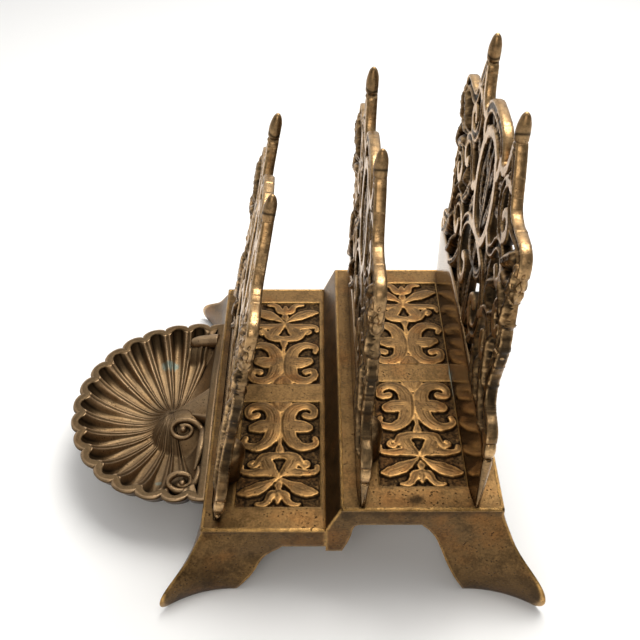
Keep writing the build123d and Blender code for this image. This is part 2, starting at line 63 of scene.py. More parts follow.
# Cast leafwork of one sunk panel. A point of a stroke is its distance from the outer end of
# the panel, its distance from the middle line, and the half width of the stroke there.
panelStrokes = [
    [(53.3, 11.2, 1.3), (52.7, 14.4, 1.2), (56.2, 15.3, 1.3), (59.1, 12.6, 1.6), (59.1, 7.9, 2.1),
     (54.9, 4.1, 2.5), (47.9, 3.3, 2.9), (40.5, 4.1, 2.5), (34.6, 8.2, 2), (33.8, 12.6, 1.4),
     (36.4, 16.2, 1), (39, 15.6, 0.8)],
    [(46.6, 4.8, 2.8), (46.4, 9, 2.8), (45.4, 12.4, 1.8)],
    [(28.9, 0.4, 1.2), (28.6, 3.2, 1.6), (26.8, 6.6, 2.4), (24.4, 9.3, 1.1)],
    [(16.9, 0.6, 0.5), (19.6, 2.9, 1.8), (22.6, 4.9, 2.4), (26, 6.2, 2.2)],
    [(19.4, 2.8, 1.8), (19.3, 8, 1.6), (18.9, 13, 1.1), (20.2, 16.5, 0.8), (22.4, 16.6, 0.7)],
    [(24.2, 9.3, 0.9), (22.3, 11.5, 0.7), (23.5, 12.9, 0.7), (24.9, 11.8, 0.7)],
    [(15.6, 0.9, 0.4), (13, 4, 1.2), (10.2, 8.5, 2.4), (8.3, 13, 2), (7.6, 16.8, 0.5)],
    [(7.6, 0.4, 1.2), (6.6, 2.8, 1.5), (3.8, 4, 1.2), (1.7, 6, 1), (1.6, 9, 0.5)],
]
panelMiddleStrokes = [
    [(61.8, 0, 3.8), (59, 0, 2.6), (56, 0, 0.5)],
    [(40.4, 0, 0.4), (34.8, 0, 0.6), (31.6, 0, 1.4)],
    [(13.8, 0, 0.4), (11.5, 0, 1.3), (9.3, 0, 0.5)],
    [(7.8, 0, 1.6), (6.4, 0, 1.4), (3, 0, 0.5)],
]

# Scrollwork of one half of a plate: distance from the middle, height above the band, half
# width. The buds and drops that end each shoulder are turned pieces, further down.
scrollStrokes = [
    [(71.4, 4, 1.4), (73.6, 2.6, 1.7), (75.4, 4.4, 2.1), (74.2, 7.4, 2.3), (69.8, 8.8, 2.4),
     (64.6, 11.4, 2.3), (61.6, 18, 2.2), (61.8, 26, 2.3), (63.6, 35, 2.5), (64.6, 44, 2.6),
     (61.6, 51.4, 2.5), (55, 53, 2.4), (50, 48.4, 2.2), (51, 42.4, 2), (56, 40.8, 1.8),
     (58.4, 44.4, 1.9)],
    [(33.2, 105.6, 2.3), (38.6, 95.4, 2.3), (44.6, 84.8, 2.6), (53, 83.4, 2.4), (61.6, 83.6, 2.6),
     (66.6, 81.8, 2.8), (67.4, 77.6, 2.6)],
    [(0, 99.7, 2.3), (7.2, 99.4, 2.3), (13, 97.6, 2.3), (17, 93, 2.3), (18, 87.4, 2.1), (15.6, 83, 1.9),
     (11.6, 83.8, 1.7), (11.6, 87.8, 1.9)],
    [(31.4, 105, 1.7), (29.8, 98, 1.7), (27.2, 92.6, 1.8), (22.6, 89.8, 1.8), (17.6, 90.6, 1.7)],
    [(40.6, 92.6, 1.6), (35.4, 93, 2), (30.4, 89.4, 2.3), (28.2, 82.4, 2.5), (31, 75.2, 2.5),
     (37.6, 72, 2.3), (43.4, 75, 2.1), (43.8, 80.4, 1.9), (39.6, 82.6, 1.8), (36.8, 79.6, 1.9)],
    [(0, 91.6, 1.9), (7.2, 89.8, 2), (12.8, 83.8, 2.1), (15.8, 75.4, 2.2), (16.4, 65.6, 2.2),
     (13.6, 54, 2.1), (7.8, 47.6, 2), (0, 46, 1.9)],
    [(16.8, 60, 1.7), (23, 56, 2.2), (29, 59, 2.5), (33.6, 65.4, 2.5), (40, 68, 2.4), (46.6, 64.8, 2.2),
     (47.6, 58.4, 2), (43, 55.2, 1.8), (39.4, 58, 1.9)],
    [(3, 45.4, 1.6), (12.6, 44, 2), (21.8, 39.8, 2.5), (27.8, 31.6, 2.7), (28.2, 21.6, 2.7),
     (23.4, 13.8, 2.5), (15.4, 12, 2.2), (10.6, 17, 2), (12.6, 23.4, 1.8), (17.8, 23, 2)],
    [(28.6, 27, 1.6), (34.2, 33.6, 2.2), (41, 35.8, 2.5), (47.6, 32.8, 2.5), (49.8, 26, 2.3),
     (46, 20.4, 2.1), (40.4, 20.8, 1.8), (39.2, 25.8, 2)],
]
leafStrokes = [
    [(63, 82.4, 1.4), (58.4, 76.4, 3.4), (52.8, 71.6, 3.2), (46.6, 65.4, 1.2)],
    [(28.4, 22, 1.8), (31.4, 12, 2.6), (37, 4.6, 2.6), (45, 0.2, 1.8)],
    [(49.6, 27, 1.2), (53.6, 18, 3), (59, 9.6, 3.2), (65, 4, 2.6), (71, 1.8, 1.8)],
    [(62, 13.6, 1.2), (57.4, 20, 2.8), (54, 29, 3.2), (53.6, 39.4, 1.6)],
    [(63, 50, 1.8), (65, 55, 2.6), (64.4, 60, 2.3), (62.8, 65, 1.6)],
    [(67.2, 78, 1.9), (66.8, 73, 3), (65, 68.6, 2.8), (63, 64.4, 1.8)],
    [(15.4, 78, 1.4), (21.6, 82.6, 2.5), (28.4, 83.6, 1.4)],
    [(29, 59, 1.4), (29.8, 49.6, 2.8), (34.4, 42, 2.4), (40, 36.4, 1.4)],
    [(47.6, 59, 1.4), (53.4, 60, 2.7), (59.4, 56.4, 2.5), (63.4, 50.4, 1.4)],
    [(46.6, 66.4, 1.4), (53.4, 65.6, 2.3), (60, 66.6, 2.2), (64, 69, 1.4)],
    [(34.4, 66, 1.4), (32.6, 70.4, 2.2), (34, 75, 1.4)],
    [(43, 36.4, 1.4), (45.8, 41, 2.2), (51, 44.6, 1.4)],
    [(6, 91, 1.2), (9.4, 94.2, 2), (12.6, 97, 1.2)],
    [(1, 0, 1.6), (6, 9, 2.4), (8.6, 14, 2.2), (10.6, 17.4, 1.2)],
    [(1, 30, 1.1), (6, 30.4, 2.4), (11, 33, 2.8), (15, 40, 2), (16, 43, 1.2)],
    [(2, 52, 1.1), (7.4, 60, 2.6), (10.6, 69, 2.6), (10, 79, 1)],
    [(1.6, 69, 1), (5.4, 76.6, 2.3), (7.2, 83.4, 2.2), (6, 89.4, 1.2)],
    [(40.4, 20.4, 1.2), (43.4, 12, 2.6), (49, 4, 2.6), (53, 0.2, 1.6)],
    [(22, 14, 1.4), (19, 7, 2.6), (13, 0.2, 1.6)],
    [(36.4, 98, 1.2), (34.6, 95, 2.2), (33.4, 92, 1.2)],
    [(16.6, 71, 1.2), (23.4, 72, 2.7), (29.4, 78, 1.4)],
    [(15.4, 56, 1.2), (20.8, 49, 2.9), (24.4, 38.6, 1.4)],
    [(31.6, 47.4, 1.2), (37, 49.6, 2.5), (43, 55.4, 1.2)],
    [(0, -1, 2.6), (0, 11, 3.8), (0, 23, 2.6), (0, 30, 1)],
    [(0, 30, 1.2), (0, 38, 3.2), (0, 45, 1.6)],
    [(0, 47, 1.6), (0, 61, 3.6), (0, 74, 3.8), (0, 86, 1.1)],
    [(0, 91, 1.6), (0, 95.4, 3), (0, 99, 1.6)],
]


def smoothStep(value):
    value = np.clip(value, 0, 1)
    return value * value * (3 - 2 * value)


# Bell curve: one where the value is at its place, and near zero two widths from it
def bell(value, at, wide):
    return np.exp(-((value - at) / wide) ** 2)


# Line that bends evenly through its points, sampled every spacing, with its half width
def evenLine(points, halfWidths, spacing=0.35):
    points = np.array(points, float)
    chords = np.sqrt((np.diff(points, axis=0) ** 2).sum(1))
    knots = np.concatenate([[0], np.cumsum(chords)])
    last = len(points) - 1
    system = np.eye(len(points))
    pull = np.zeros_like(points)
    for i in range(1, last):
        system[i, i - 1:i + 2] = chords[i - 1], 2 * (chords[i - 1] + chords[i]), chords[i]
        pull[i] = 6 * ((points[i + 1] - points[i]) / chords[i]
                       - (points[i] - points[i - 1]) / chords[i - 1])
    bend = np.linalg.solve(system, pull)
    along = np.linspace(0, knots[-1], max(4, int(knots[-1] / spacing) + 1))
    span = np.clip(np.searchsorted(knots, along, side="right") - 1, 0, last - 1)
    length = chords[span][:, None]
    near = (knots[span + 1] - along)[:, None] / length
    far = 1 - near
    line = (near * points[span] + far * points[span + 1]
            + ((near ** 3 - near) * bend[span] + (far ** 3 - far) * bend[span + 1]) * length ** 2 / 6)
    return line, np.interp(along, knots, halfWidths)


# For each stroke, how far every grid point lies inside it, and the stroke's half width there
def strokeInsets(strokes, xs, ys, reach=2.0):
    insets = []
    for stroke in strokes:
        stroke = np.array(stroke, float)
        line, width = evenLine(stroke[:, :2], stroke[:, 2])
        margin = width.max() + reach
        columns, rows = [np.flatnonzero((grid > part.min() - margin) & (grid < part.max() + margin))
                         for grid, part in ((xs, line[:, 0]), (ys, line[:, 1]))]
        block = np.ix_(rows, columns)
        gridX, gridY = np.meshgrid(xs[columns], ys[rows])
        best = np.full(gridX.shape, -9.0)
        half = np.ones(gridX.shape)
        for (x, y), w in zip(line, width):
            inside = w - np.sqrt((gridX - x) ** 2 + (gridY - y) ** 2)
            nearer = inside > best
            best[nearer] = inside[nearer]
            half[nearer] = w
        insets.append((block, best, half))
    return insets


# Closed solid over the grid points that lie inside an outline. Points beside the outline
# move onto it, so that the cut edge runs smoothly and not in steps.
def castSheet(xs, ys, inset, top, bottom, values, bulge=0.0):
    step = xs[1] - xs[0]
    slopeY, slopeX = np.gradient(inset, step)
    steep = np.maximum(slopeX ** 2 + slopeY ** 2, 0.2)
    near = 0.52 * step
    beside = np.abs(inset) < near
    gridX, gridY = np.meshgrid(xs, ys)
    gridX = np.where(beside, gridX - inset * slopeX / steep, gridX)
    gridY = np.where(beside, gridY - inset * slopeY / steep, gridY)
    kept = inset > -near
    inner = inset > near
    index = np.full(inset.shape, -1)
    index[kept] = np.arange(kept.sum())

    def cells(grid):
        return np.stack([grid[:-1, :-1], grid[:-1, 1:], grid[1:, 1:], grid[1:, :-1]], -1).reshape(-1, 4)

    corners = cells(index)
    anyInner = cells(inner).any(1)
    held = (corners >= 0).sum(1)
    quads = corners[(held == 4) & (anyInner | (cells(inset).sum(1) > 0))]
    threes = corners[(held == 3) & anyInner]
    threes = threes[threes >= 0].reshape(-1, 3)
    used = np.zeros(kept.sum(), bool)
    used[quads.ravel()] = True
    used[threes.ravel()] = True
    renumber = np.cumsum(used) - 1
    quads, threes = renumber[quads], renumber[threes]

    def picked(grid):
        return grid[kept][used]

    flat = np.column_stack([picked(gridX), picked(gridY)])
    count = len(flat)
    inward = np.column_stack([picked(slopeX), picked(slopeY)])
    inward /= np.maximum(np.linalg.norm(inward, axis=1), 0.3)[:, None]
    high = picked(top)
    low = picked(bottom)
    edges = np.concatenate([np.stack([polygons, np.roll(polygons, -1, 1)], -1).reshape(-1, 2)
                            for polygons in (quads, threes)])
    keys = edges[:, 0] * count + edges[:, 1]
    backward = edges[:, 1] * count + edges[:, 0]
    rim = edges[~np.isin(keys, backward)]
    onRim = np.unique(rim)
    slot = np.zeros(count, int)
    slot[onRim] = np.arange(len(onRim))
    bulged = flat[onRim] - bulge * inward[onRim]
    rings = [np.column_stack([bulged, high[onRim] + share * (low - high)[onRim]]) for share in (0.2, 0.8)]
    levels = [np.arange(count), 2 * count + slot, 2 * count + len(onRim) + slot, count + np.arange(count)]
    walls = [np.stack([upper[rim[:, 1]], upper[rim[:, 0]], lower[rim[:, 0]], lower[rim[:, 1]]], -1)
             for upper, lower in zip(levels, levels[1:])]
    points = np.concatenate([np.column_stack([flat, high]), np.column_stack([flat, low])] + rings)
    faces = (quads.tolist() + threes.tolist() + (quads[:, ::-1] + count).tolist()
             + (threes[:, ::-1] + count).tolist() + np.concatenate(walls).tolist())
    marks = {}
    for name, (above, below, wall) in values.items():
        side = picked(wall + 0 * inset)[onRim]
        marks[name] = np.concatenate([picked(above), picked(below), side, side])
    return points, faces, marks


# Several closed solids as one piece: each is (points in millimetres, faces, marks)
def makePiece(name, solids, material, nodes=()):
    points = []
    faces = []
    marks = {"polish": [], "grimeAndShade": [], "gloss": []}
    for solidPoints, solidFaces, solidMarks in solids:
        start = sum(len(p) for p in points)
        points.append(np.asarray(solidPoints, float))
        faces += [[start + i for i in face] for face in solidFaces]
        for key in marks:
            given = solidMarks.get(key, 0.0)
            marks[key].append(np.broadcast_to(np.asarray(given, float), (len(solidPoints),)))
    mesh = bpy.data.meshes.new(name)
    mesh.from_pydata((np.concatenate(points) * mm).tolist(), [], faces)
    for key, lists in marks.items():
        layer = mesh.attributes.new(key, "FLOAT", "POINT")
        layer.data.foreach_set("value", np.concatenate(lists).astype(np.float32))
    mesh.validate()
    mesh.shade_smooth()
    mesh.materials.append(material)
    piece = bpy.data.objects.new(name, mesh)
    bpy.context.scene.collection.objects.link(piece)
    bpy.context.view_layer.objects.active = piece
    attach(piece, "root")
    if nodes:
        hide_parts(*nodes)
    print(name, len(mesh.vertices), "points", len(mesh.polygons), "faces")


# Faces of a tube of point rings with a flat cap at each end; inside turns them over
def tubeFaces(rings, sides, inside=False):
    faces = []
    for ring in range(rings - 1):
        for k in range(sides):
            a = ring * sides + k
            b = ring * sides + (k + 1) % sides
            faces.append([a, b, b + sides, a + sides])
    faces.append(list(range(sides))[::-1])
    faces.append([(rings - 1) * sides + k for k in range(sides)])
    return [face[:1] + face[:0:-1] for face in faces] if inside else faces


# Solid of revolution about +Z from a list of (radius, height), smooth between its points
def turnedSolid(profile, sides=28, spacing=0.35):
    line, _ = evenLine(profile, [1.0] * len(profile), spacing)
    line[:, 0] = np.maximum(line[:, 0], 0.02)
    turn = np.arange(sides) * 2 * math.pi / sides
    points = np.concatenate([np.column_stack([r * np.cos(turn), r * np.sin(turn), np.full(sides, z)])
                             for r, z in line])
    return points, tubeFaces(len(line), sides)


# Round bar that follows a line in space, with a radius at each point
def roundBar(points, radii, sides=14, flatten=1.0, spacing=0.5):
    line, radius = evenLine(points, radii, spacing)
    ahead = np.gradient(line, axis=0)
    ahead /= np.linalg.norm(ahead, axis=1)[:, None]
    side = np.cross(ahead, [0, 0, 1.0])
    side /= np.maximum(np.linalg.norm(side, axis=1), 1e-6)[:, None]
    up = np.cross(side, ahead)
    turn = np.arange(sides) * 2 * math.pi / sides
    rings = [p + r * (np.outer(np.cos(turn), s) + flatten * np.outer(np.sin(turn), u))
             for p, r, s, u in zip(line, radius, side, up)]
    return np.concatenate(rings), tubeFaces(len(line), sides, True)


# How far a face drops near its edge, so that the edge is rounded
def quarterRound(inset, radius):
    within = np.clip(inset, 0, radius)
    return radius - np.sqrt(np.maximum(radius ** 2 - (radius - within) ** 2, 0))


# Value noise from seeded random grids, laid over grid lines at a spacing in millimetres
def stipple(xs, ys, spacing, seed):
    random = np.random.default_rng(seed)
    width = int((xs[-1] - xs[0]) / spacing) + 3
    height = int((ys[-1] - ys[0]) / spacing) + 3
    coarse = random.uniform(-1, 1, (height, width))
    fx = (xs - xs[0]) / spacing
    fy = (ys - ys[0]) / spacing
    ix = fx.astype(int)
    iy = fy.astype(int)
    tx = smoothStep(fx - ix)[None, :]
    ty = smoothStep(fy - iy)[:, None]
    rows = coarse[:, ix] * (1 - tx) + coarse[:, ix + 1] * tx
    return rows[iy] * (1 - ty) + rows[iy + 1] * ty


# Materials

def linear(hexColour):
    parts = [int(hexColour[i:i + 2], 16) / 255 for i in (1, 3, 5)]
    return [c / 12.92 if c <= 0.04045 else ((c + 0.055) / 1.055) ** 2.4 for c in parts] + [1.0]


# Shader node with its inputs linked or set; it gives back one of its outputs
def addNode(tree, kind, links=None, out=0, **settings):
    node = tree.nodes.new("ShaderNode" + kind)
    for key, value in settings.items():
        setattr(node, key, value)
    for key, value in (links or {}).items():
        if isinstance(value, bpy.types.NodeSocket):
            tree.links.new(value, node.inputs[key])
        else:
            node.inputs[key].default_value = value
    return node.outputs[out] if node.outputs else None


def emptyTree(holder):
    holder.use_nodes = True
    holder.node_tree.nodes.clear()
    return holder.node_tree


# One for rays of either kind, otherwise zero
def rayMask(tree, *kinds):
    first, second = [addNode(tree, "LightPath", out=kind) for kind in kinds]
    return addNode(tree, "Math", {0: first, 1: second}, operation="MAXIMUM")


# Sand cast brass with a century of patina: bright where hands rub it, brown on the flats,
# darker on its upright sides from painted shade, and near black in its hollows, where painted shade
# lies over the dark patina. The surface is finely pitted.
# Metallic 1; the roughness runs from about 0.2 where it is worn to 0.7 in the dirt, and what
# carries the gloss mark is smoother. A stain, a patch of painted shade or a spot is (centre, reach on each
# axis, strength).
brasses = {
    "castBrass": {
        "worn": "#D0A362", "mid": "#735836", "warm": "#74502C", "side": "#604A2F", "dark": "#150F09",
        "grain": 0.55, "pits": 1.5, "pitDepth": 0.2, "cloud": 22.0, "edge": 2.3, "smooth": 0.25,
        "dull": 0.42, "shade": 7.0, "soot": 0.5,
        "spots": [((6.0, upperFront + 53.0, upperTop), (14.0, 1.1, 2.5), 0.5)],
        # Painted shade across the near end of the upper step's top; a small dark spot; the front plate's
        # painted shadow on the front strip of the lower step; painted shade low on the near front foot; a
        # dark patch by the end of the front plate
        "stainsAndShade": [((80.0, upperFront + 30.0, upperTop), (8.0, 45.0, 4.0), 0.45),
            ((75.0, upperFront + 30.4, upperTop), (2.2, 2.8, 3.0), 0.8),
            ((20.0, frontFace + 2.0, lowerTop), (90.0, 5.0, 4.0), 0.5),
            ((92.0, frontFace + 2.0, 12.0), (12.0, 11.0, 11.0), 0.5),
            ((78.0, frontFace + 8.0, lowerTop), (4.0, 10.0, 4.0), 0.35)],
    },
    "panelBrass": {
        "worn": "#B48A53", "mid": "#6C5233", "warm": "#734C28", "side": "#4C3823", "dark": "#130E09",
        "grain": 0.5, "pits": 1.3, "pitDepth": 0.12, "cloud": 16.0, "edge": 0.7, "smooth": 0.3,
        "dull": 0.42, "shade": 5.0, "soot": 0.4,
    },
    "scrollBrass": {
        "worn": "#CDA776", "mid": "#7A6346", "warm": "#7A5630", "side": "#584630", "dark": "#12100D",
        "grain": 0.5, "pits": 0.95, "pitDepth": 0.16, "cloud": 11.0, "edge": 0.5, "smooth": 0.24,
        "dull": 0.42, "shade": 6.0, "soot": 0.45,
    },
    "shellBrass": {
        "worn": "#AC9070", "mid": "#876F51", "warm": "#7F6342", "side": "#70593F", "dark": "#1A130C",
        "grain": 0.5, "pits": 1.6, "pitDepth": 0.06, "cloud": 18.0, "edge": 0.5, "smooth": 0.36,
        "dull": 0.50, "shade": 2.2, "soot": 0.2,
        "spots": [((-37.0, -65.0, 12.0), (3.0, 4.6, 8.0), 0.7),
            ((41.0, -60.4, 15.0), (1.2, 2.0, 5.0), 0.5)],
    },
    "turnedBrass": {
        "worn": "#B48C54", "mid": "#86663E", "warm": "#7A5229", "side": "#604A2E", "dark": "#231910",
        "grain": 0.3, "pits": 1.2, "pitDepth": 0.03, "cloud": 6.0, "edge": 0.4, "smooth": 0.3,
        "dull": 0.5, "shade": 4.0, "soot": 0.0,
    },
}
# The two values between which each mask rises or falls, then for some what it is at each
# hollow turns occlusion into painted shade, and upward makes upright sides darker than faces that look up,
# also painted shade
masks = {"pit": (0.12, 0.30, 1.0, 0.0), "pitted": (0.45, 0.57), "bareEdge": (0.985, 0.86),
         "hollow": (0.72, 0.2), "upward": (0.35, 1.0), "rubbedAndSheen": (0.32, 0.58, 0.3, 1.0),
         "warm": (0.5, 0.66), "soot": (0.54, 0.36), "grain": (0.3, 0.7, 0.72, 1.22),
         "mottle": (0, 1, -0.08, 0.1), "gloss": (0.0, 1.0, 1.0, 0.42)}
# How strongly each mask acts, and how soft the edges of stains and spots are
mix = {"warm": 0.75, "pits": 0.8, "dirtDulls": 0.15, "patchEdge": 1.6, "patchMottle": 1.2,
       "stainAndShadeSoft": 0.45, "spotSoft": 0.2, "dryRough": 0.85, "grainRise": 0.3, "bump": 0.8}
verdigris = "#6F837D"  # green bloom of copper salts, dry and matt


def agedBrass(name, look):
    material = bpy.data.materials.new(name)
    tree = emptyTree(material)
    place = addNode(tree, "TexCoord", out="Object")

    def noise(size, detail, rough):
        return addNode(tree, "TexNoise", {"Vector": place, "Scale": 1 / (size * mm), "Detail": detail,
                                          "Roughness": rough}, "Fac")

    def ramp(value, low, high, start=0.0, end=1.0):
        return addNode(tree, "MapRange", {"Value": value, "From Min": low, "From Max": high,
                                          "To Min": start, "To Max": end}, "Result", clamp=True)

    def sums(kind, a, b):
        return addNode(tree, "Math", {0: a, 1: b}, operation=kind)

    def times(a, b):
        return sums("MULTIPLY", a, b)

    def larger(a, b):
        return sums("MAXIMUM", a, b)

    def blend(factor, a, b, kind="MIX"):
        return addNode(tree, "Mix", {"Factor": factor, "A": a, "B": b}, 2, data_type="RGBA",
                       blend_type=kind)

    cloud = noise(look["cloud"], 5.0, 0.6)
    mottle = noise(look["cloud"] / 5, 6.0, 0.7)
    grain = noise(look["grain"] * 2, 3.0, 0.75)
    cells = addNode(tree, "TexVoronoi", {"Vector": place, "Scale": 1 / (look["pits"] * mm),
                                         "Randomness": 1.0}, "Distance")
    pits = times(ramp(cells, *masks["pit"]), ramp(mottle, *masks["pitted"]))

    polish, grimeAndShade, gloss = [addNode(tree, "Attribute", out="Fac", attribute_name=mark)
                            for mark in ("polish", "grimeAndShade", "gloss")]
    bevel = addNode(tree, "Bevel", {"Radius": look["edge"] * mm}, samples=6)
    true = addNode(tree, "NewGeometry", out="Normal")
    agree = addNode(tree, "VectorMath", {0: bevel, 1: true}, "Value", operation="DOT_PRODUCT")
    edge = ramp(agree, *masks["bareEdge"])
    # Ambient occlusion paints shade into hollows, creases and corners; with the grime and shade mark and the
    # pits it darkens the colour towards the dark tint
    openness = addNode(tree, "AmbientOcclusion", {"Distance": look["shade"] * mm}, "AO", samples=8)
    sunk = ramp(openness, *masks["hollow"])
    upward = addNode(tree, "SeparateXYZ", {0: true}, "Z")
    flat = ramp(sums("ADD", upward, times(mottle, 0.5)), *masks["upward"])

    # The worn colour marks rubbed edges and the polish and sheen mark: wear, and on the plates and panels
    # painted highlights as well
    rubbedAndSheen = times(larger(edge, polish), ramp(mottle, *masks["rubbedAndSheen"]))
    dirtyAndShaded = larger(larger(sunk, grimeAndShade), times(pits, mix["pits"]))
    worn, mid, warm, side, dark = [linear(look[tint]) for tint in ("worn", "mid", "warm", "side", "dark")]
    # Upright sides take the darker side colour and faces that look up the mid colour: painted shade on the
    # sides
    colour = blend(flat, side, mid)
    colour = blend(times(ramp(cloud, *masks["warm"]), mix["warm"]), colour, warm)
    sooty = ramp(noise(look["cloud"] * 0.4, 6.0, 0.7), *masks["soot"])
    colour = blend(times(sooty, look["soot"]), colour, dark)
    colour = blend(1.0, colour, ramp(grain, *masks["grain"]), "MULTIPLY")
    colour = blend(rubbedAndSheen, colour, worn)
    colour = blend(dirtyAndShaded, colour, dark)

    def patch(centre, size, soft):
        away = addNode(tree, "VectorMath", {0: place, 1: [c * mm for c in centre]},
                       operation="SUBTRACT")
        away = addNode(tree, "VectorMath", {0: away, 1: [1 / (s * mm) for s in size]},
                       operation="MULTIPLY")
        far = addNode(tree, "VectorMath", {0: away}, "Value", operation="LENGTH")
        return ramp(sums("ADD", far, times(mottle, mix["patchMottle"])),
                    mix["patchEdge"] + soft, mix["patchEdge"] - soft)

    for centre, size, amount in look.get("stainsAndShade", []):
        colour = blend(times(patch(centre, size, mix["stainAndShadeSoft"]), amount), colour, dark)
    bloom = None
    for centre, size, amount in look.get("spots", []):
        spot = times(patch(centre, size, mix["spotSoft"]), amount)
        bloom = spot if bloom is None else larger(bloom, spot)
    rough = sums("ADD", ramp(rubbedAndSheen, 0.0, 1.0, look["dull"], look["smooth"]), ramp(mottle, *masks["mottle"]))
    rough = sums("ADD", rough, times(dirtyAndShaded, mix["dirtDulls"]))
    rough = times(rough, ramp(gloss, *masks["gloss"]))
    if bloom is not None:
        colour = blend(bloom, colour, linear(verdigris))
        rough = larger(rough, times(bloom, mix["dryRough"]))
    height = sums("SUBTRACT", times(grain, mix["grainRise"]), pits)
    bump = addNode(tree, "Bump", {"Height": height, "Distance": look["pitDepth"] * mm,
                                  "Strength": mix["bump"], "Normal": bevel})
    shader = addNode(tree, "BsdfPrincipled", {"Base Color": colour, "Metallic": 1.0, "Roughness": rough,
                                              "Normal": bump})
    addNode(tree, "OutputMaterial", {"Surface": shader})
    return material


materials = {name: agedBrass(name, look) for name, look in brasses.items()}
print("materials", len(materials))

# Finishes of the pieces that come from the CAD
finishes = {"cast_brass": "castBrass", "turned_brass": "turnedBrass", "scroll_brass": "scrollBrass",
            "shell_brass": "shellBrass"}
for part in frame["record"]["subparts"]:
    node = frame["nodes"][part["node"]]
    for spot in node.material_slots:
        spot.material = materials[finishes[part["material_slot"]]]

# Sunk panels: leafwork that stands up from a stippled ground
panel = {"length": 62.0, "width": 36.0, "bar": 12.0, "sunk": 1.2, "proud": 0.1, "wider": 1.27,
         "spread": 0.45, "slope": 0.55, "step": 0.27, "lowerGap": 13.2, "upperGap": 16.1, "lift": 0.06,
         "ground": 0.16, "crease": 0.17, "creaseWidth": 0.3, "creaseFrom": 1.9, "flank": 1.25, "dome": 0.22,
         "wobble": [(0.22, 2.4, 7), (0.12, 1.1, 8)], "lip": 0.5, "edgeShine": 0.85, "footDirtAndShade": 0.6}


def panelSolid(panel, seed):
    step = panel["step"]
    xs = np.linspace(-step, panel["length"] + step, int(round(panel["length"] / step)) + 3)
    ys = np.linspace(-panel["width"] / 2 - step, panel["width"] / 2 + step,
                     int(round(panel["width"] / step)) + 3)
    rise = np.full((len(ys), len(xs)), -9.0)
    mirrored = [[(along, -out, half) for along, out, half in stroke] for stroke in panelStrokes]
    drawn = [[(along, out, half * panel["wider"]) for along, out, half in stroke]
             for stroke in panelStrokes + mirrored + panelMiddleStrokes]
    crease = np.zeros_like(rise)
    for block, best, half in strokeInsets(drawn, xs, ys):
        rise[block] = np.maximum(rise[block], best)
        middle = bell(half - best, 0, panel["creaseWidth"]) * smoothStep((half - panel["creaseFrom"]) / 0.8)
        flank = 0.6 * bell(half - best, panel["flank"], 0.22) * smoothStep((half - 2.3) / 0.6)
        crease[block] = np.maximum(crease[block] * (best < 0.5), middle + flank)
    for amount, spacing, more in panel["wobble"]:
        rise = rise + amount * stipple(xs, ys, spacing, seed + more)
    gridX, gridY = np.meshgrid(xs, ys)
    inside = np.minimum(np.minimum(gridX, panel["length"] - gridX),
                        panel["width"] / 2 - np.abs(gridY))
    lifted = smoothStep((rise + panel["spread"] + panel["slope"] * 0.5) / panel["slope"])
    dome = panel["dome"] * smoothStep((rise - 0.3) / 1.6) - panel["crease"] * crease
    rough = stipple(xs, ys, 0.75, seed) + 0.6 * stipple(xs, ys, 0.4, seed + 1)
    ground = -panel["sunk"] + panel["lift"] + panel["ground"] * np.abs(rough)
    high = panel["proud"] - 0.16 + dome + 0.05 * stipple(xs, ys, 2.6, seed + 2)
    top = ground + (high - ground) * lifted
    edge = smoothStep((panel["lip"] - inside) / panel["lip"])
    top = top * (1 - edge) + (-panel["sunk"] * 0.35) * edge * (1 - lifted) + top * edge * lifted
    bottom = np.full_like(top, -panel["sunk"] - 0.3)
    # Bright along the edges of the leafwork: wear, with a painted highlight
    polish = 0.02 + 0.2 * stipple(xs, ys, 3.4, seed + 3) + panel["edgeShine"] * bell(rise, -0.05, 0.45)
    polish = np.clip(polish * lifted, 0, 1)
    # The ground is dark with dirt; the foot of the leafwork and its creases are darker, dirt with painted
    # shade
    grimeAndShade = (1 - lifted) * (0.68 + 0.3 * rough) + panel["footDirtAndShade"] * bell(rise, -0.85, 0.45)
    grimeAndShade = np.clip(grimeAndShade + 0.22 * crease * lifted, 0, 0.95)
    zero = np.zeros_like(top)
    return castSheet(xs, ys, inside, top, bottom,
                     {"polish": (polish, zero, 0.0), "grimeAndShade": (grimeAndShade, zero, 0.0)})


outerEnd = panel["bar"] / 2 + panel["length"]
seed = 11
for step, face, gap, topZ in (("lower", frontFace, panel["lowerGap"], lowerTop),
                              ("upper", upperFront, panel["upperGap"], upperTop)):
    middleY = face + gap + panel["width"] / 2
    for end, way in (("far", 1), ("near", -1)):
        points, faces, marks = panelSolid(panel, seed)
        points = points * [way, way, 1] + [-way * outerEnd, middleY, topZ]
        makePiece(f"{step}_panel_{end}", [(points, faces, marks)], materials["panelBrass"])
        seed += 1
print("panels laid")

# Rounded lips, worn bright by handling, along the top edges of both steps. Each bar lies a
# little inside the edge, and a ball closes each of its ends.
lip = {"radius": 0.95, "tuck": 0.75, "half": 80.0, "rear": upperFront + 65.6,
       "marks": {"polish": 0.6, "gloss": 0.3},
       "ball": [(0.05, -1), (0.7, -0.72), (1, 0), (0.7, 0.72), (0.05, 1)]}


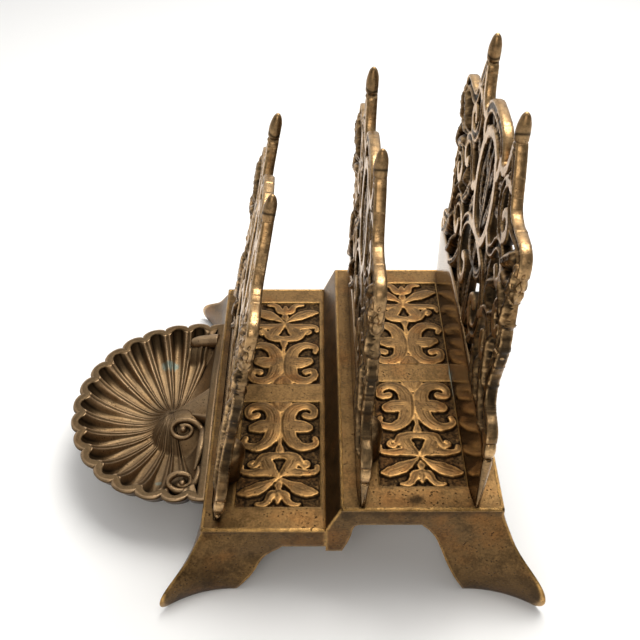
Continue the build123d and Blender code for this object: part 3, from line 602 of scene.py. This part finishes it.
def lipBars(lip):
    out = lip["half"] - lip["tuck"]
    low = lowerTop - lip["tuck"]
    high = upperTop - lip["tuck"]
    front = frontFace + lip["tuck"]
    corner = upperFront + lip["tuck"]
    rear = lip["rear"] - lip["tuck"]
    lines = [[(x, y, z) for x in (-out, 0, out)] for y, z in ((front, low), (corner, high), (rear, high))]
    for side in (-out, out):
        lines.append([(side, front, low), (side, jointY - 3, low), (side, jointY - 0.6, low)])
        lines.append([(side, corner, high), (side, corner + 30, high), (side, rear, high)])
    bars = []
    for line in lines:
        bars.append((*roundBar(line, [lip["radius"]] * len(line), 12, 1.0, 2.0), lip["marks"]))
        for end in (line[0], line[-1]):
            ball, faces = turnedSolid(lip["ball"], 12, 0.2)
            bars.append((ball * lip["radius"] + list(end), faces, lip["marks"]))
    return bars


makePiece("worn_lips", lipBars(lip), materials["castBrass"])


# The part of a grid that is open to its border, through points that lie outside the outline
def openOutside(inset):
    free = inset < 0
    found = np.zeros_like(free)
    found[0], found[-1], found[:, 0], found[:, -1] = free[0], free[-1], free[:, 0], free[:, -1]
    while True:
        wider = found.copy()
        wider[1:] |= found[:-1]
        wider[:-1] |= found[1:]
        wider[:, 1:] |= wider[:, :-1]
        wider[:, :-1] |= wider[:, 1:]
        wider &= free
        if (wider == found).all():
            return found
        found = wider


# Standing plates: pierced scrollwork with rimmed scrolls, veined leaves, turned finials,
# leaf drops under the shoulders and two round lugs behind
plate = {"thickness": 4.4, "bandEnd": 79.0, "leaf": 3.2, "proud": 2.1, "edge": 0.35, "rim": 0.9,
         "channel": 1.2, "step": 0.52, "height": 122.0, "bulge": 0.35, "lugOffset": 50.0,
         "budX": 32.6, "budV": 104.6, "dropX": 67.2, "dropV": 78.0, "slim": 0.92, "knuckle": 2.4,
         "flatTo": 24, "proudOver": 18, "wornAndLitFrom": 48, "wornAndLitOver": 34,
         "lobes": {"from": 57, "low": 8, "high": 66, "rise": 0.3, "ripple": 0.12},
         "cuffs": [(63.9, 64.2, 2.6), (62.6, 50.6, 2.5), (64.0, 38.0, 2.6)]}
plates = {
    "plate_front": {"footY": frontFace + 6.3, "stands": lowerTop, "lean": 11.2, "band": 6.8,
                    "narrow": 0.95, "stretch": 1.07},
    "plate_middle": {"footY": upperFront + 8.7, "stands": upperTop, "lean": 1.9, "band": 18.0,
                     "narrow": 1.0, "stretch": 1.0},
    "plate_rear": {"footY": upperFront + 54.6, "stands": upperTop, "lean": 2.4, "band": 32.0,
                   "narrow": 1.0, "stretch": 1.0},
}


def scrollSolid(plate, narrow, stretch, seed):
    step = plate["step"]
    halfX = int(plate["bandEnd"] / step) + 1
    xs = np.arange(-halfX, halfX + 1) * step
    ys = np.arange(-2, int(plate["height"] * stretch / step)) * step
    shape = (len(ys), len(xs))
    inset, front = np.full((2, *shape), -9.0)
    back = np.full(shape, 9.0)
    polish, grimeAndShade = np.zeros((2, *shape))
    half = plate["thickness"] / 2
    rough = stipple(xs, ys, 0.9, seed)

    def scaled(strokes):
        return [[(x * narrow, y * stretch, w) for x, y, w in stroke] for stroke in strokes]

    for isLeaf, strokes in ((False, scrollStrokes), (True, leafStrokes)):
        for block, best, w in strokeInsets(scaled(strokes), xs, ys):
            if isLeaf:
                out = np.clip(1 - best / w, 0, 1)
                swell = smoothStep((w - 1.3) / 1.2)
                vein = (0.45 * bell(w - best, 0, 0.4) + 0.5 * np.abs(rough[block])) * swell
                outer = smoothStep((np.abs(xs[block[1]]) - plate["flatTo"]) / plate["proudOver"])
                face = (-half + plate["leaf"] + (half * 2 - plate["leaf"] - 0.5
                                                 + (plate["proud"] + 0.5) * outer) * swell
                        * (1 - out ** 2.2) - vein - quarterRound(best, 0.5))
                behind = -half + 0.55 + 0 * best
                # Leaves: a painted highlight on the slope and painted glints on the stipple; darker towards
                # their edges and in the vein, dirt with painted shade
                shine = (0.7 * bell(out, 0.45, 0.2) + 0.6 * np.maximum(rough[block], 0)) * swell
                dirtAndShade = 0.62 * smoothStep((out - 0.5) / 0.3) + 0.5 * (bell(w - best, 0, 0.4) - rough[block])
            else:
                deep = plate["channel"] * smoothStep((best - plate["rim"]) / 0.35)
                deep = deep * smoothStep((w - 2.2) / 0.25)
                face = half - quarterRound(best, plate["edge"]) - deep
                face = face - 0.3 * deep / plate["channel"] * rough[block]
                behind = -half + quarterRound(best, 0.5)
                # Scroll rims are worn bright; the channels are darker, dirt with painted shade
                shine = 0.85 * (1 - smoothStep((best - plate["rim"]) / 0.3) * (deep > 0.02))
                dirtAndShade = 0.85 * deep / plate["channel"] + 0.1 * rough[block] * (deep > 0.02)
            won = (face > front[block]) & (best > -0.3)
            for grid, found in ((front, face), (polish, shine), (grimeAndShade, dirtAndShade)):
                grid[block] = np.where(won, found, grid[block])
            back[block] = np.where(best > -0.3, np.minimum(back[block], behind), back[block])
            inset[block] = np.maximum(inset[block], best)
    # the other half of the plate mirrors this one
    flip = front[:, ::-1] > front
    polish, grimeAndShade, front = [np.where(flip, grid[:, ::-1], grid) for grid in (polish, grimeAndShade, front)]
    inset = np.maximum(inset, inset[:, ::-1])
    back = np.minimum(back, back[:, ::-1])
    # knobbly leaf edges low down on the outer outline
    knobs = plate["lobes"]
    lobes = knobs["rise"] * np.sin(ys * 0.62) + knobs["ripple"] * np.sin(ys * 1.5 + 1)
    lobes = lobes * (1 - smoothStep((ys - knobs["high"]) / 6)) * smoothStep((ys - knobs["low"]) / 6)
    lobes = lobes[:, None] * smoothStep((np.abs(xs) - knobs["from"]) / 5)[None, :]
    inset = inset + np.where(openOutside(inset - 3.0), lobes, 0)
    front = front + np.maximum(lobes, 0) * 0.8
    front = np.where(front < -8, half, front)
    back = np.where(back > 8, -half, back)
    high = smoothStep((ys - plate["wornAndLitFrom"]) / plate["wornAndLitOver"])[:, None] + np.zeros(shape)
    patchy = smoothStep(0.5 + 0.7 * stipple(xs, ys, 6.0, seed + 5) + 0.5 * stipple(xs, ys, 1.3, seed + 6))
    # the outer walls are worn and carry a painted highlight, most of all at the top, and are darker low
    # down; the walls of the holes are painted dark, shade over unrubbed patina
    outside = openOutside(inset).astype(float)
    for turn in range(3):
        around = [np.roll(outside, way, axis) for way in (-1, 1) for axis in (0, 1)]
        outside = np.maximum.reduce([outside] + around)
    wallPolishAndSheen = outside * (0.03 + 0.3 * patchy * (0.4 + high) + 0.45 * high)
    wallGrimeAndShade = 0.74 * (1 - outside) + outside * (0.08 + 0.62 * (1 - high) * (1 - patchy))
    marks = {"polish": (polish, 0.5 * polish, wallPolishAndSheen), "grimeAndShade": (grimeAndShade, 0 * grimeAndShade, wallGrimeAndShade)}
    return castSheet(xs, ys, inset, front, back, marks, plate["bulge"])


# Plain band at the foot, rounded along its edges, its ends drawn in towards the bottom. The
# wedge is how thin the foot of each end is, as a share of its top.
bandShape = {"sides": 28, "end": 8, "wedge": 0.42, "endRound": 1.4, "endDrop": 4.0}


def bandSolid(plate, halfLength, band):
    half = plate["thickness"] / 2 - 0.1
    end = bandShape["end"]
    wedge = bandShape["wedge"]
    sides = bandShape["sides"]
    ends = np.concatenate([np.linspace(-halfLength, -halfLength + end, 17),
                           np.linspace(-halfLength + end, halfLength - end, 40)[1:-1],
                           np.linspace(halfLength - end, halfLength, 17)])
    rings = []
    low = -plate["thickness"]
    for x in ends:
        toEnd = halfLength - abs(x)
        draw = math.sqrt(max(0.0, 1 - (1 - min(1, toEnd / bandShape["endRound"])) ** 2))
        thick = half * (0.35 + 0.65 * draw)
        high = band - 0.9 * (1 - draw) - bandShape["endDrop"] * (1 - smoothStep((toEnd - 2) / 5))
        ring = []
        for k in range(sides):
            turn = 2 * math.pi * (k + 0.5) / sides
            c = math.cos(turn)
            s = math.sin(turn)
            n = math.copysign(min(1, abs(c) * 1.35) ** 0.5, c)
            v = math.copysign(min(1, abs(s) * 1.1) ** 0.4, s)
            height = (low + high) / 2 + v * (high - low) / 2
            lowDown = 1 - smoothStep(height / band * 0.9 + 0.1)
            taper = 1 - (1 - wedge) * lowDown * (1 - smoothStep(toEnd / 10))
            ring.append((x, height, n * thick * taper))
        rings.append(ring)
    return np.array(rings).reshape(-1, 3), tubeFaces(len(ends), sides), {"polish": 0.25, "gloss": 1.0}


# Outlines of the turned details, as (radius, height). The bud that ends each shoulder has
# two rings with a groove between them, then a long blunt tip. Its back is cast flat.
budProfile = [(0.5, -2.4), (2.4, -2.1), (2.5, -0.6), (2.15, 0.0), (2.7, 0.8), (2.8, 1.6), (2.2, 2.4),
              (2.75, 3.2), (2.95, 4.6), (3.0, 6.0), (2.95, 7.5), (2.75, 9.0), (2.35, 10.6),
              (1.85, 12.2), (1.15, 13.3), (0.5, 13.8), (0.1, 13.9)]
# leaf drop under the shoulder: a ball, then folds that close to a tip
dropProfile = [(0.3, 2.2), (2.3, 1.9), (2.95, 0.4), (2.9, -1.2), (2.2, -2.6), (2.5, -3.6), (2.95, -5.2),
               (2.6, -7.0), (2.2, -7.8), (2.5, -8.8), (2.4, -10.6), (1.7, -12.6), (0.9, -13.8), (0.2, -14.2)]
# round end of the lowest scroll, and the lug that takes the screw from below
knuckleProfile = [(0.2, -2.3), (1.6, -2.2), (2.5, -1.4), (2.6, 0), (2.5, 1.4), (1.6, 2.2), (0.2, 2.3)]
lugProfile = [(6.0, -1), (6.0, 4), (6.0, 9), (6.0, 15), (5.55, 17.3), (4.2, 19.3), (2.2, 20.6), (0.1, 21)]
# dark grooves round the bud, dirt with painted shade: height, half width, and how far each slants
budGrooves = [(0.0, 0.5, 0.0), (2.4, 0.6, 0.0), (5.6, 0.6, 0.5)]


# Places are measured along the plate, up it and out of its face
def buildPlate(name, size):
    half = plate["thickness"] / 2
    narrow = size["narrow"]
    stretch = size["stretch"]
    band = size["band"]
    points, faces, marks = scrollSolid(plate, narrow, stretch, 21)
    solids = [(points + [0, band, 0], faces, marks), bandSolid(plate, plate["bandEnd"] * narrow, band)]

    def addTurned(faces, marks, *places):
        solids.append((np.column_stack(places), [face[::-1] for face in faces], marks))

    for side in (-1, 1):
        bud, faces = turnedSolid(budProfile, 32)
        out = bud[:, 0] * plate["slim"]
        up = bud[:, 2]
        dirtAndShade = 0.05 + 0.8 * sum(bell(up - slant * side * out, at, wide) for at, wide, slant in budGrooves)
        addTurned(faces, {"polish": 0.45, "grimeAndShade": dirtAndShade}, side * plate["budX"] * narrow + out,
                  plate["budV"] * stretch + band + up,
                  np.maximum(bud[:, 1] * plate["slim"] + 0.1, -half))
        drop, faces = turnedSolid(dropProfile, 42)
        swell = 1 + 0.1 * np.cos(6 * np.arctan2(drop[:, 1], drop[:, 0]) + 0.25 * drop[:, 2])
        addTurned(faces if side > 0 else [face[::-1] for face in faces], {"polish": 0.5},
                  side * (plate["dropX"] * narrow + drop[:, 0] * swell),
                  plate["dropV"] * stretch + band + drop[:, 2],
                  np.maximum(drop[:, 1] * swell + 0.2, -half))
        knuckle, faces = turnedSolid(knuckleProfile, 26)
        addTurned(faces, {"polish": 0.75},
                  side * (plate["bandEnd"] * narrow - plate["knuckle"]) + knuckle[:, 0],
                  band + 0.2 + 1.75 * knuckle[:, 1], knuckle[:, 2])
        for x, v, r in plate["cuffs"]:
            cuff, faces = turnedSolid([(0.4, -1.3), (r + 0.1, -1.0), (r + 0.45, 0), (r + 0.1, 1.0),
                                       (0.4, 1.3)], 28)
            addTurned(faces, {"polish": 0.5}, side * x * narrow + cuff[:, 0],
                      v * stretch + band + cuff[:, 2], cuff[:, 1] * 0.98)
        lug, faces = turnedSolid(lugProfile, 40, 0.5)
        addTurned(faces, {"polish": 0.2}, side * plate["lugOffset"] + lug[:, 0], lug[:, 2],
                  np.minimum(lug[:, 1], half * 0.5) - half)
    lean = math.radians(size["lean"])
    turned = []
    for points, faces, marks in solids:
        x, v, n = points.T
        y = size["footY"] + v * math.sin(lean) - n * math.cos(lean)
        z = size["stands"] + v * math.cos(lean) + n * math.sin(lean)
        turned.append((np.column_stack([x, y, np.maximum(z, size["stands"] + 0.02)]), faces, marks))
    makePiece(name + "_casting", turned, materials["scrollBrass"], [name])


for name, size in plates.items():
    buildPlate(name, size)
print("plates standing")

# Shell dish: hollow flutes with double ribs between them fan out from a raised root to a
# scalloped rim. Angles are degrees about the centre, and heights are measured from the rim.
# The rim is a list of (share of its width from the inside outward, height).
shell = {"lobes": 15, "lobeStep": 11.6, "centre": frontFace - 5.5, "rootY": frontFace - 22.0,
         "rimZ": 26.7, "depth": 15.5, "wall": 2.6, "backWall": 4.2, "lobe": 63.7, "notch": 61.0,
         "hollow": 60.3, "ribEnd": 57.2, "perLobe": 28, "across": 86, "endSteps": 16, "backSteps": 120,
         "rootRise": 7.6, "rootSpread": 8.5, "groove": 0.8, "flange": 3.4, "flangeFlat": 14,
         "flangeFall": 26, "shallow": 0.45, "deep": 2.7, "deepFrom": 0.66, "deepOver": 0.26, "tuck": 4.6,
         "tuckFrom": 46.0, "crest": 0.6, "crestAt": 0.385, "pit": (-2.2, -0.6, 2.5, 2.0), "floorDrop": 3.6,
         "climb": 17,
         "rim": [(0.0, -0.5), (0.05, -0.12), (0.14, 0.0), (0.34, -0.05), (0.6, -0.05), (0.8, -0.1),
                 (0.93, -0.35), (1.0, -0.9), (1.0, -1.3), (0.93, -1.8)]}
# Scrolls beside the root and at the near end of the back wall. Each lies on a pad and leans
# outward from the middle. A line is a list of (x, distance in front of the base, radius), and
# a tail has the height above the rim before the radius.
scrolls = {
    "root": {"x": 14.0, "y": 14.6, "z": -3.7, "pad": 8.2, "slim": 0.85, "eye": (14.4, 15.2, 1.6),
             "line": [(14.3, 6.5, 1.6), (9.6, 9.4, 1.45), (7.5, 14.2, 1.3), (9.2, 18.8, 1.25),
                      (13.6, 20.6, 1.2), (18.2, 19.4, 1.2), (20.3, 16.0, 1.15), (18.6, 12.4, 1.1),
                      (14.6, 11.0, 1.0), (11.4, 13.2, 0.95), (11.8, 16.8, 0.9)],
             "tail": [(39.0, 7.4, -3.8, 0.5), (34.6, 6.2, -2.4, 1.3), (30.0, 5.3, -1.2, 2.0),
                      (25.0, 4.8, -0.8, 2.3), (20.0, 5.0, -1.4, 2.0)]},
    "end": {"x": 47.5, "y": 11.6, "z": -2.9, "pad": 6.8, "slim": 0.6, "eye": (47.4, 11.8, 1.5),
            "line": [(46.6, 5.9, 1.7), (50.8, 7.6, 1.7), (53.0, 11.6, 1.65), (51.2, 16.4, 1.6),
                     (46.8, 18.2, 1.5), (42.2, 16.0, 1.4), (41.2, 11.2, 1.25), (44.0, 8.2, 1.1),
                     (47.6, 8.6, 1.0), (49.4, 11.2, 0.9), (48.6, 14.0, 0.9)],
            "tail": [(39.0, 5.4, -1.9, 0.7), (42.6, 4.9, -1.4, 1.2)]},
}
scrollLean = {"squeeze": 0.52, "drop": 0.40, "padDrop": 1.2, "padFall": 2.6}


def padHeight(scroll, x, y):
    out = x - scroll["x"]
    away = np.hypot(out / scroll["slim"], frontFace - y - scroll["y"])
    lean = scrollLean["drop"] / scrollLean["squeeze"] * out
    fall = scrollLean["padFall"] * (away / scroll["pad"]) ** 2
    return scroll["z"] - scrollLean["padDrop"] - lean - fall


def shellSolid(shell):
    step = shell["lobeStep"]
    reach = shell["lobes"] * step / 2
    centre = np.array([0, shell["centre"]])
    root = np.array([0, shell["rootY"]])
    innerBack = frontFace - shell["backWall"]
    outerBack = frontFace - 0.1
    # angle of each point of the rim from the far end to the near end, and its place in its lobe
    backAngle = math.degrees(math.asin((outerBack - shell["centre"]) / shell["notch"]))
    bend = np.linspace(-reach, reach, shell["lobes"] * shell["perLobe"] + 1)
    extra = np.linspace(reach, 90 + backAngle, shell["endSteps"] + 1)[1:]
    angle = np.concatenate([-extra[::-1], bend, extra])
    place = angle / step + shell["lobes"] / 2
    t = place - np.floor(np.clip(place, 0, shell["lobes"] - 1e-6)) - 0.5
    turned = np.abs(angle)
    t = np.where(turned > reach, 0.5 - (turned - reach) / (90 + backAngle - reach) * 0.5, t)
    arch = np.sqrt(np.maximum(0, 1 - (2 * np.abs(t)) ** 2.1))
    tuck = smoothStep((turned - shell["tuckFrom"]) / (90 + backAngle - shell["tuckFrom"])) * shell["tuck"]
    outer = shell["notch"] + (shell["lobe"] - shell["notch"]) * arch
    outer = outer - 0.15 * (1 + np.sin(place * 2.3)) * (1 - arch)
    inner = shell["ribEnd"] + (shell["hollow"] - shell["ribEnd"]) * np.cos(math.pi * t) ** 2
    way = np.column_stack([np.sin(np.radians(angle)), -np.cos(np.radians(angle))])
    outerPoints = centre + (outer - tuck)[:, None] * way
    innerPoints = centre + (inner - 0.9 * tuck)[:, None] * way
    backX = np.linspace(outerPoints[-1, 0], outerPoints[0, 0], shell["backSteps"])[1:-1]
    count = len(backX)
    loops = []
    for curve, back in ((outerPoints, outerBack), (innerPoints, innerBack)):
        curve[:, 1] = np.minimum(curve[:, 1], back)
        along = np.clip(backX, curve[0, 0], curve[-1, 0])
        loops.append(np.concatenate([curve, np.column_stack([along, np.full(count, back)])]))
    outerLoop, innerLoop = loops
    tLoop = np.abs(np.concatenate([t, np.full(count, 0.5)]))
    innerRadius = np.linalg.norm(innerLoop - centre, axis=1)
    isBack = np.concatenate([np.zeros(len(angle)), np.ones(count)])
    lift = 1 - smoothStep((np.abs(outerLoop[:, 0]) - shell["flangeFlat"]) / shell["flangeFall"])
    lift = shell["flange"] * lift * isBack
    flute = np.clip(1 - (tLoop / 0.3) ** 2, 0, 1) ** 0.6
    rows = []
    polish = []
    grimeAndShade = []

    def addRow(flat, z, shine, dirtAndShade):
        rows.append(np.column_stack([flat, z]))
        polish.append(np.broadcast_to(np.clip(shine, 0, 1), z.shape))
        grimeAndShade.append(np.broadcast_to(np.clip(dirtAndShade, 0, 0.92), z.shape))

    shares = (np.arange(shell["across"]) + 0.5) / shell["across"]
    for s in 1 - (1 - shares) ** 1.5:
        flat = root + (innerLoop - root) * s
        q = np.linalg.norm(flat - centre, axis=1) / innerRadius
        toBack = np.maximum(innerBack - flat[:, 1], 0)
        climb = np.clip(1 - toBack / shell["climb"], 0, 1)
        q = np.where(isBack > 0, s, np.clip((q ** 6 + climb ** 6) ** (1 / 6), 0, 1))
        rib = -shell["depth"] * (1 - q ** 3.0) ** 0.8
        fade = smoothStep(s / 0.14) * smoothStep(toBack / 5) * (1 - isBack)
        sunk = shell["deep"] * smoothStep((q - shell["deepFrom"]) / shell["deepOver"])
        sunk = sunk + shell["shallow"] * smoothStep(s / 0.4)
        sunk = sunk * np.sqrt(np.maximum(0, 1 - q ** 14)) * flute * fade
        away = np.linalg.norm(flat - root, axis=1)
        mound = shell["rootRise"] * bell(away, 0, shell["rootSpread"])
        crease = bell(tLoop, 0.5, 0.05)
        crest = bell(tLoop, shell["crestAt"], 0.07) * (0.45 + 0.55 * smoothStep((q - 0.45) / 0.4))
        fine = bell(tLoop, 0.2, 0.04)
        groove = shell["groove"] * crease * (1 - 0.5 * s)
        relief = fade * (shell["crest"] * crest - groove - 0.2 * fine)
        z = rib - sunk + mound + relief
        z = np.minimum(z, lift - 0.5)
        pads = np.maximum(padHeight(scrolls["root"], flat[:, 0], flat[:, 1]),
                          padHeight(scrolls["end"], np.abs(flat[:, 0]), flat[:, 1]))
        onPad = smoothStep((pads - z + 0.3) / 0.6)
        z = np.maximum(z, np.minimum(pads + 1.3 * relief, lift - 0.6))
        pitX, pitY, pitWide, pitDeep = shell["pit"]
        pit = bell(np.hypot(flat[:, 0] - pitX, flat[:, 1] - root[1] - pitY), 0, pitWide)
        z = z - pitDeep * pit
        # Painted shade with dirt: dark at the ends of the flutes by the rim and in the corner along the back
        # wall
        deep = smoothStep((q - 0.86) / 0.09) * flute * fade
        corner = bell(toBack, 0, 2.6) * (1 - onPad)
        addRow(flat, z, (0.05 + 0.6 * crest * fade) * (1 - 0.5 * onPad),
               0.66 * deep + 0.7 * crease * fade + 0.45 * fine * fade + 0.12 * flute * s
               + 0.2 * onPad + 0.95 * pit + 0.25 * corner)
    for w, z in shell["rim"]:
        flat = innerLoop + (outerLoop - innerLoop) * w
        addRow(flat, lift + z, 0.02 + 0.7 * (0.7 < w < 0.96), 0.5 * (w < 0.7) + 0.6 * (z < -0.8))
    floor = -shell["depth"] - shell["floorDrop"] - shell["wall"]
    # Underside, painted dark as shade under the dish
    for s in np.linspace(0.95, 0.06, 22):
        flat = np.where(isBack[:, None] > 0, outerLoop, centre + (outerLoop - centre) * s)
        flat[:, 1] = np.minimum(flat[:, 1], outerBack)
        z = floor + (-2.0 - floor) * (1 - (1 - s ** 3.2) ** 0.8)
        addRow(flat, np.full(len(flat), z), 0.0, 0.85)
    around = len(outerLoop)
    points = np.concatenate(rows)
    points[:, 2] += shell["rimZ"]
    faces = []
    here = np.arange(around)
    for i in range(len(rows) - 1):
        a = here + i * around
        b = np.roll(here, -1) + i * around
        faces += np.column_stack([b, b + around, a + around, a]).tolist()
    faces.append(here.tolist())
    faces.append((here[::-1] + (len(rows) - 1) * around).tolist())
    return points, faces, {"polish": np.concatenate(polish), "grimeAndShade": np.concatenate(grimeAndShade)}


eyeProfile = [(0.1, -1.0), (0.75, -0.7), (1.0, 0), (0.75, 0.7), (0.1, 1.0)]


def scrollBar(scroll):
    points = [(x, frontFace - y, shell["rimZ"] + z) for x, y, z, r in scroll["tail"]]
    radii = [r for x, y, z, r in scroll["tail"]]
    for x, y, r in scroll["line"]:
        out = x - scroll["x"]
        points.append((scroll["x"] + scrollLean["squeeze"] * out, frontFace - y,
                       shell["rimZ"] + scroll["z"] - scrollLean["drop"] * out))
        radii.append(r)
    bar, faces = roundBar(points, radii, 16, 1.15, 0.4)
    bar[:, 1] = np.minimum(bar[:, 1], frontFace - 0.3)
    eye, eyeFaces = turnedSolid(eyeProfile, 18, 0.2)
    x, y, r = scroll["eye"]
    eye = eye * r + [x, frontFace - y, shell["rimZ"] + scroll["z"] + 0.2]
    return [(bar, faces, {"polish": 0.3}), (eye, eyeFaces, {"polish": 0.6})]


# Smooth leaf that rises from the root to the back wall, with a raised edge on each side
leaf = {"half": 11.8, "root": 0.6, "low": -7.6, "rise": 9.9, "edge": 0.95, "steps": 34, "across": 41,
        "thick": 5.0, "curl": 4.2, "hollow": 0.7, "edgeAt": 0.86}


def leafSolid(leaf):
    across = np.linspace(-1, 1, leaf["across"])
    rings = []
    for a in np.linspace(0, 1, leaf["steps"]):
        halfWidth = leaf["root"] + leaf["half"] * a ** 1.15
        y = shell["rootY"] + a * (frontFace - 3.0 - shell["rootY"])
        height = leaf["low"] + leaf["rise"] * a ** 0.9
        edge = leaf["edge"] * bell(np.abs(across), leaf["edgeAt"], 0.09) * (0.5 + 0.5 * a)
        hollow = leaf["hollow"] * a * bell(across, 0, 0.5)
        z = shell["rimZ"] + height - leaf["curl"] * a * across ** 4 + edge - hollow
        top = np.column_stack([across * halfWidth, np.full(len(across), y), z])
        rings += [top, (top - [0, 0, leaf["thick"]])[::-1]]
    shine = 0.1 + 0.6 * bell(np.abs(across), leaf["edgeAt"], 0.08)
    shine = np.tile(np.concatenate([shine, 0 * shine]), leaf["steps"])
    return np.concatenate(rings), tubeFaces(leaf["steps"], 2 * leaf["across"]), {"polish": shine}


solids = [shellSolid(shell), leafSolid(leaf)] + scrollBar(scrolls["root"]) + scrollBar(scrolls["end"])
# The far scroll is a stout roll that stands out from the back wall
roll = {"line": [(-46.5, 3.0, -1.4), (-47.0, 8.0, -2.2), (-47.2, 13.0, -2.9), (-47.0, 16.2, -3.8),
                 (-46.6, 17.6, -4.6)], "radii": [3.7, 3.5, 3.3, 2.8, 1.2]}
bar, faces = roundBar([(x, frontFace - y, shell["rimZ"] + z) for x, y, z in roll["line"]],
                      roll["radii"], 20, 1.0, 0.4)
solids.append((bar, faces, {"polish": 0.75}))
makePiece("shell_casting", solids, materials["shellBrass"], ["shell_dish"])
print("shell cast")

# Camera of the photograph: 40 degrees above the level, at the end of the rack
camera = {"x": 314.2, "y": frontFace + 47.8, "z": 342.1, "down": 40.0, "lens": 51.95, "shift": 3 / 640}
seen = bpy.data.objects.new("camera", bpy.data.cameras.new("camera"))
seen.data.lens = camera["lens"]
seen.data.sensor_width = 36.0
seen.data.shift_x = camera["shift"]
seen.data.clip_start = 0.01
seen.location = [camera[axis] * mm for axis in "xyz"]
seen.rotation_euler = [math.radians(90 - camera["down"]), 0, math.radians(90)]
bpy.context.scene.collection.objects.link(seen)
bpy.context.scene.camera = seen

# White paper: it keeps the soft shadow and reads white where nothing shades it
studio = {"floor": 6.0, "paper": "#F4F4F4", "dim": 0.13, "bright": 1.0, "mirrored": 0.22,
          "brightSide": (-0.93, 0.0, 0.36), "aim": [0, 0, 0.06]}
bpy.ops.mesh.primitive_plane_add(size=studio["floor"], location=(0, 0, -0.0001))
paper = bpy.context.object
paper.name = "paper"
sheet = bpy.data.materials.new("paper")
tree = emptyTree(sheet)
mirrored = addNode(tree, "Math", {0: rayMask(tree, "Is Glossy Ray", "Is Transmission Ray"),
                                  1: studio["mirrored"]}, operation="MULTIPLY")
matte = addNode(tree, "BsdfDiffuse", {"Color": linear(studio["paper"])})
glow = addNode(tree, "Emission", {"Color": linear("#FFFFFF"), "Strength": mirrored})
addNode(tree, "OutputMaterial", {"Surface": addNode(tree, "AddShader", {0: matte, 1: glow})})
paper.data.materials.append(sheet)

# The room is darker on the camera's side than beyond the far end of the rack and overhead
world = bpy.data.worlds.new("studio")
bpy.context.scene.world = world
tree = emptyTree(world)
towards = addNode(tree, "VectorMath", {0: addNode(tree, "TexCoord", out="Generated"),
                                       1: studio["brightSide"]}, "Value", operation="DOT_PRODUCT")
light = addNode(tree, "MapRange", {"Value": towards, "From Min": -0.3, "From Max": 1.0,
                                   "To Min": studio["dim"], "To Max": studio["bright"]}, clamp=True)
strength = addNode(tree, "Math", {0: rayMask(tree, "Is Camera Ray", "Is Transmission Ray"), 1: light},
                   operation="MAXIMUM")
room = addNode(tree, "Background", {"Color": linear("#FFFFFF"), "Strength": strength})
addNode(tree, "OutputWorld", {"Surface": room})

# Two soft boxes: one above and behind the rack, and a weaker one on the camera's side
lamps = {
    "topBox": {"place": (-0.25, 0.15, 0.75), "size": 0.5, "watts": 6.4, "colour": "#FFFDF8"},
    "sideBox": {"place": (0.62, -0.08, 0.5), "size": 0.45, "watts": 1.6, "colour": "#FFF8EE"},
}
for name, lamp in lamps.items():
    light = bpy.data.objects.new(name, bpy.data.lights.new(name, "AREA"))
    light.data.size = lamp["size"]
    light.data.energy = lamp["watts"]
    light.data.color = linear(lamp["colour"])[:3]
    light.location = lamp["place"]
    aim = np.array(studio["aim"]) - np.array(lamp["place"])
    light.rotation_euler = [math.acos(aim[2] / -np.linalg.norm(aim)), 0,
                            math.atan2(aim[1], aim[0]) - math.pi / 2]
    bpy.context.scene.collection.objects.link(light)
bpy.context.scene.view_settings.view_transform = "Standard"
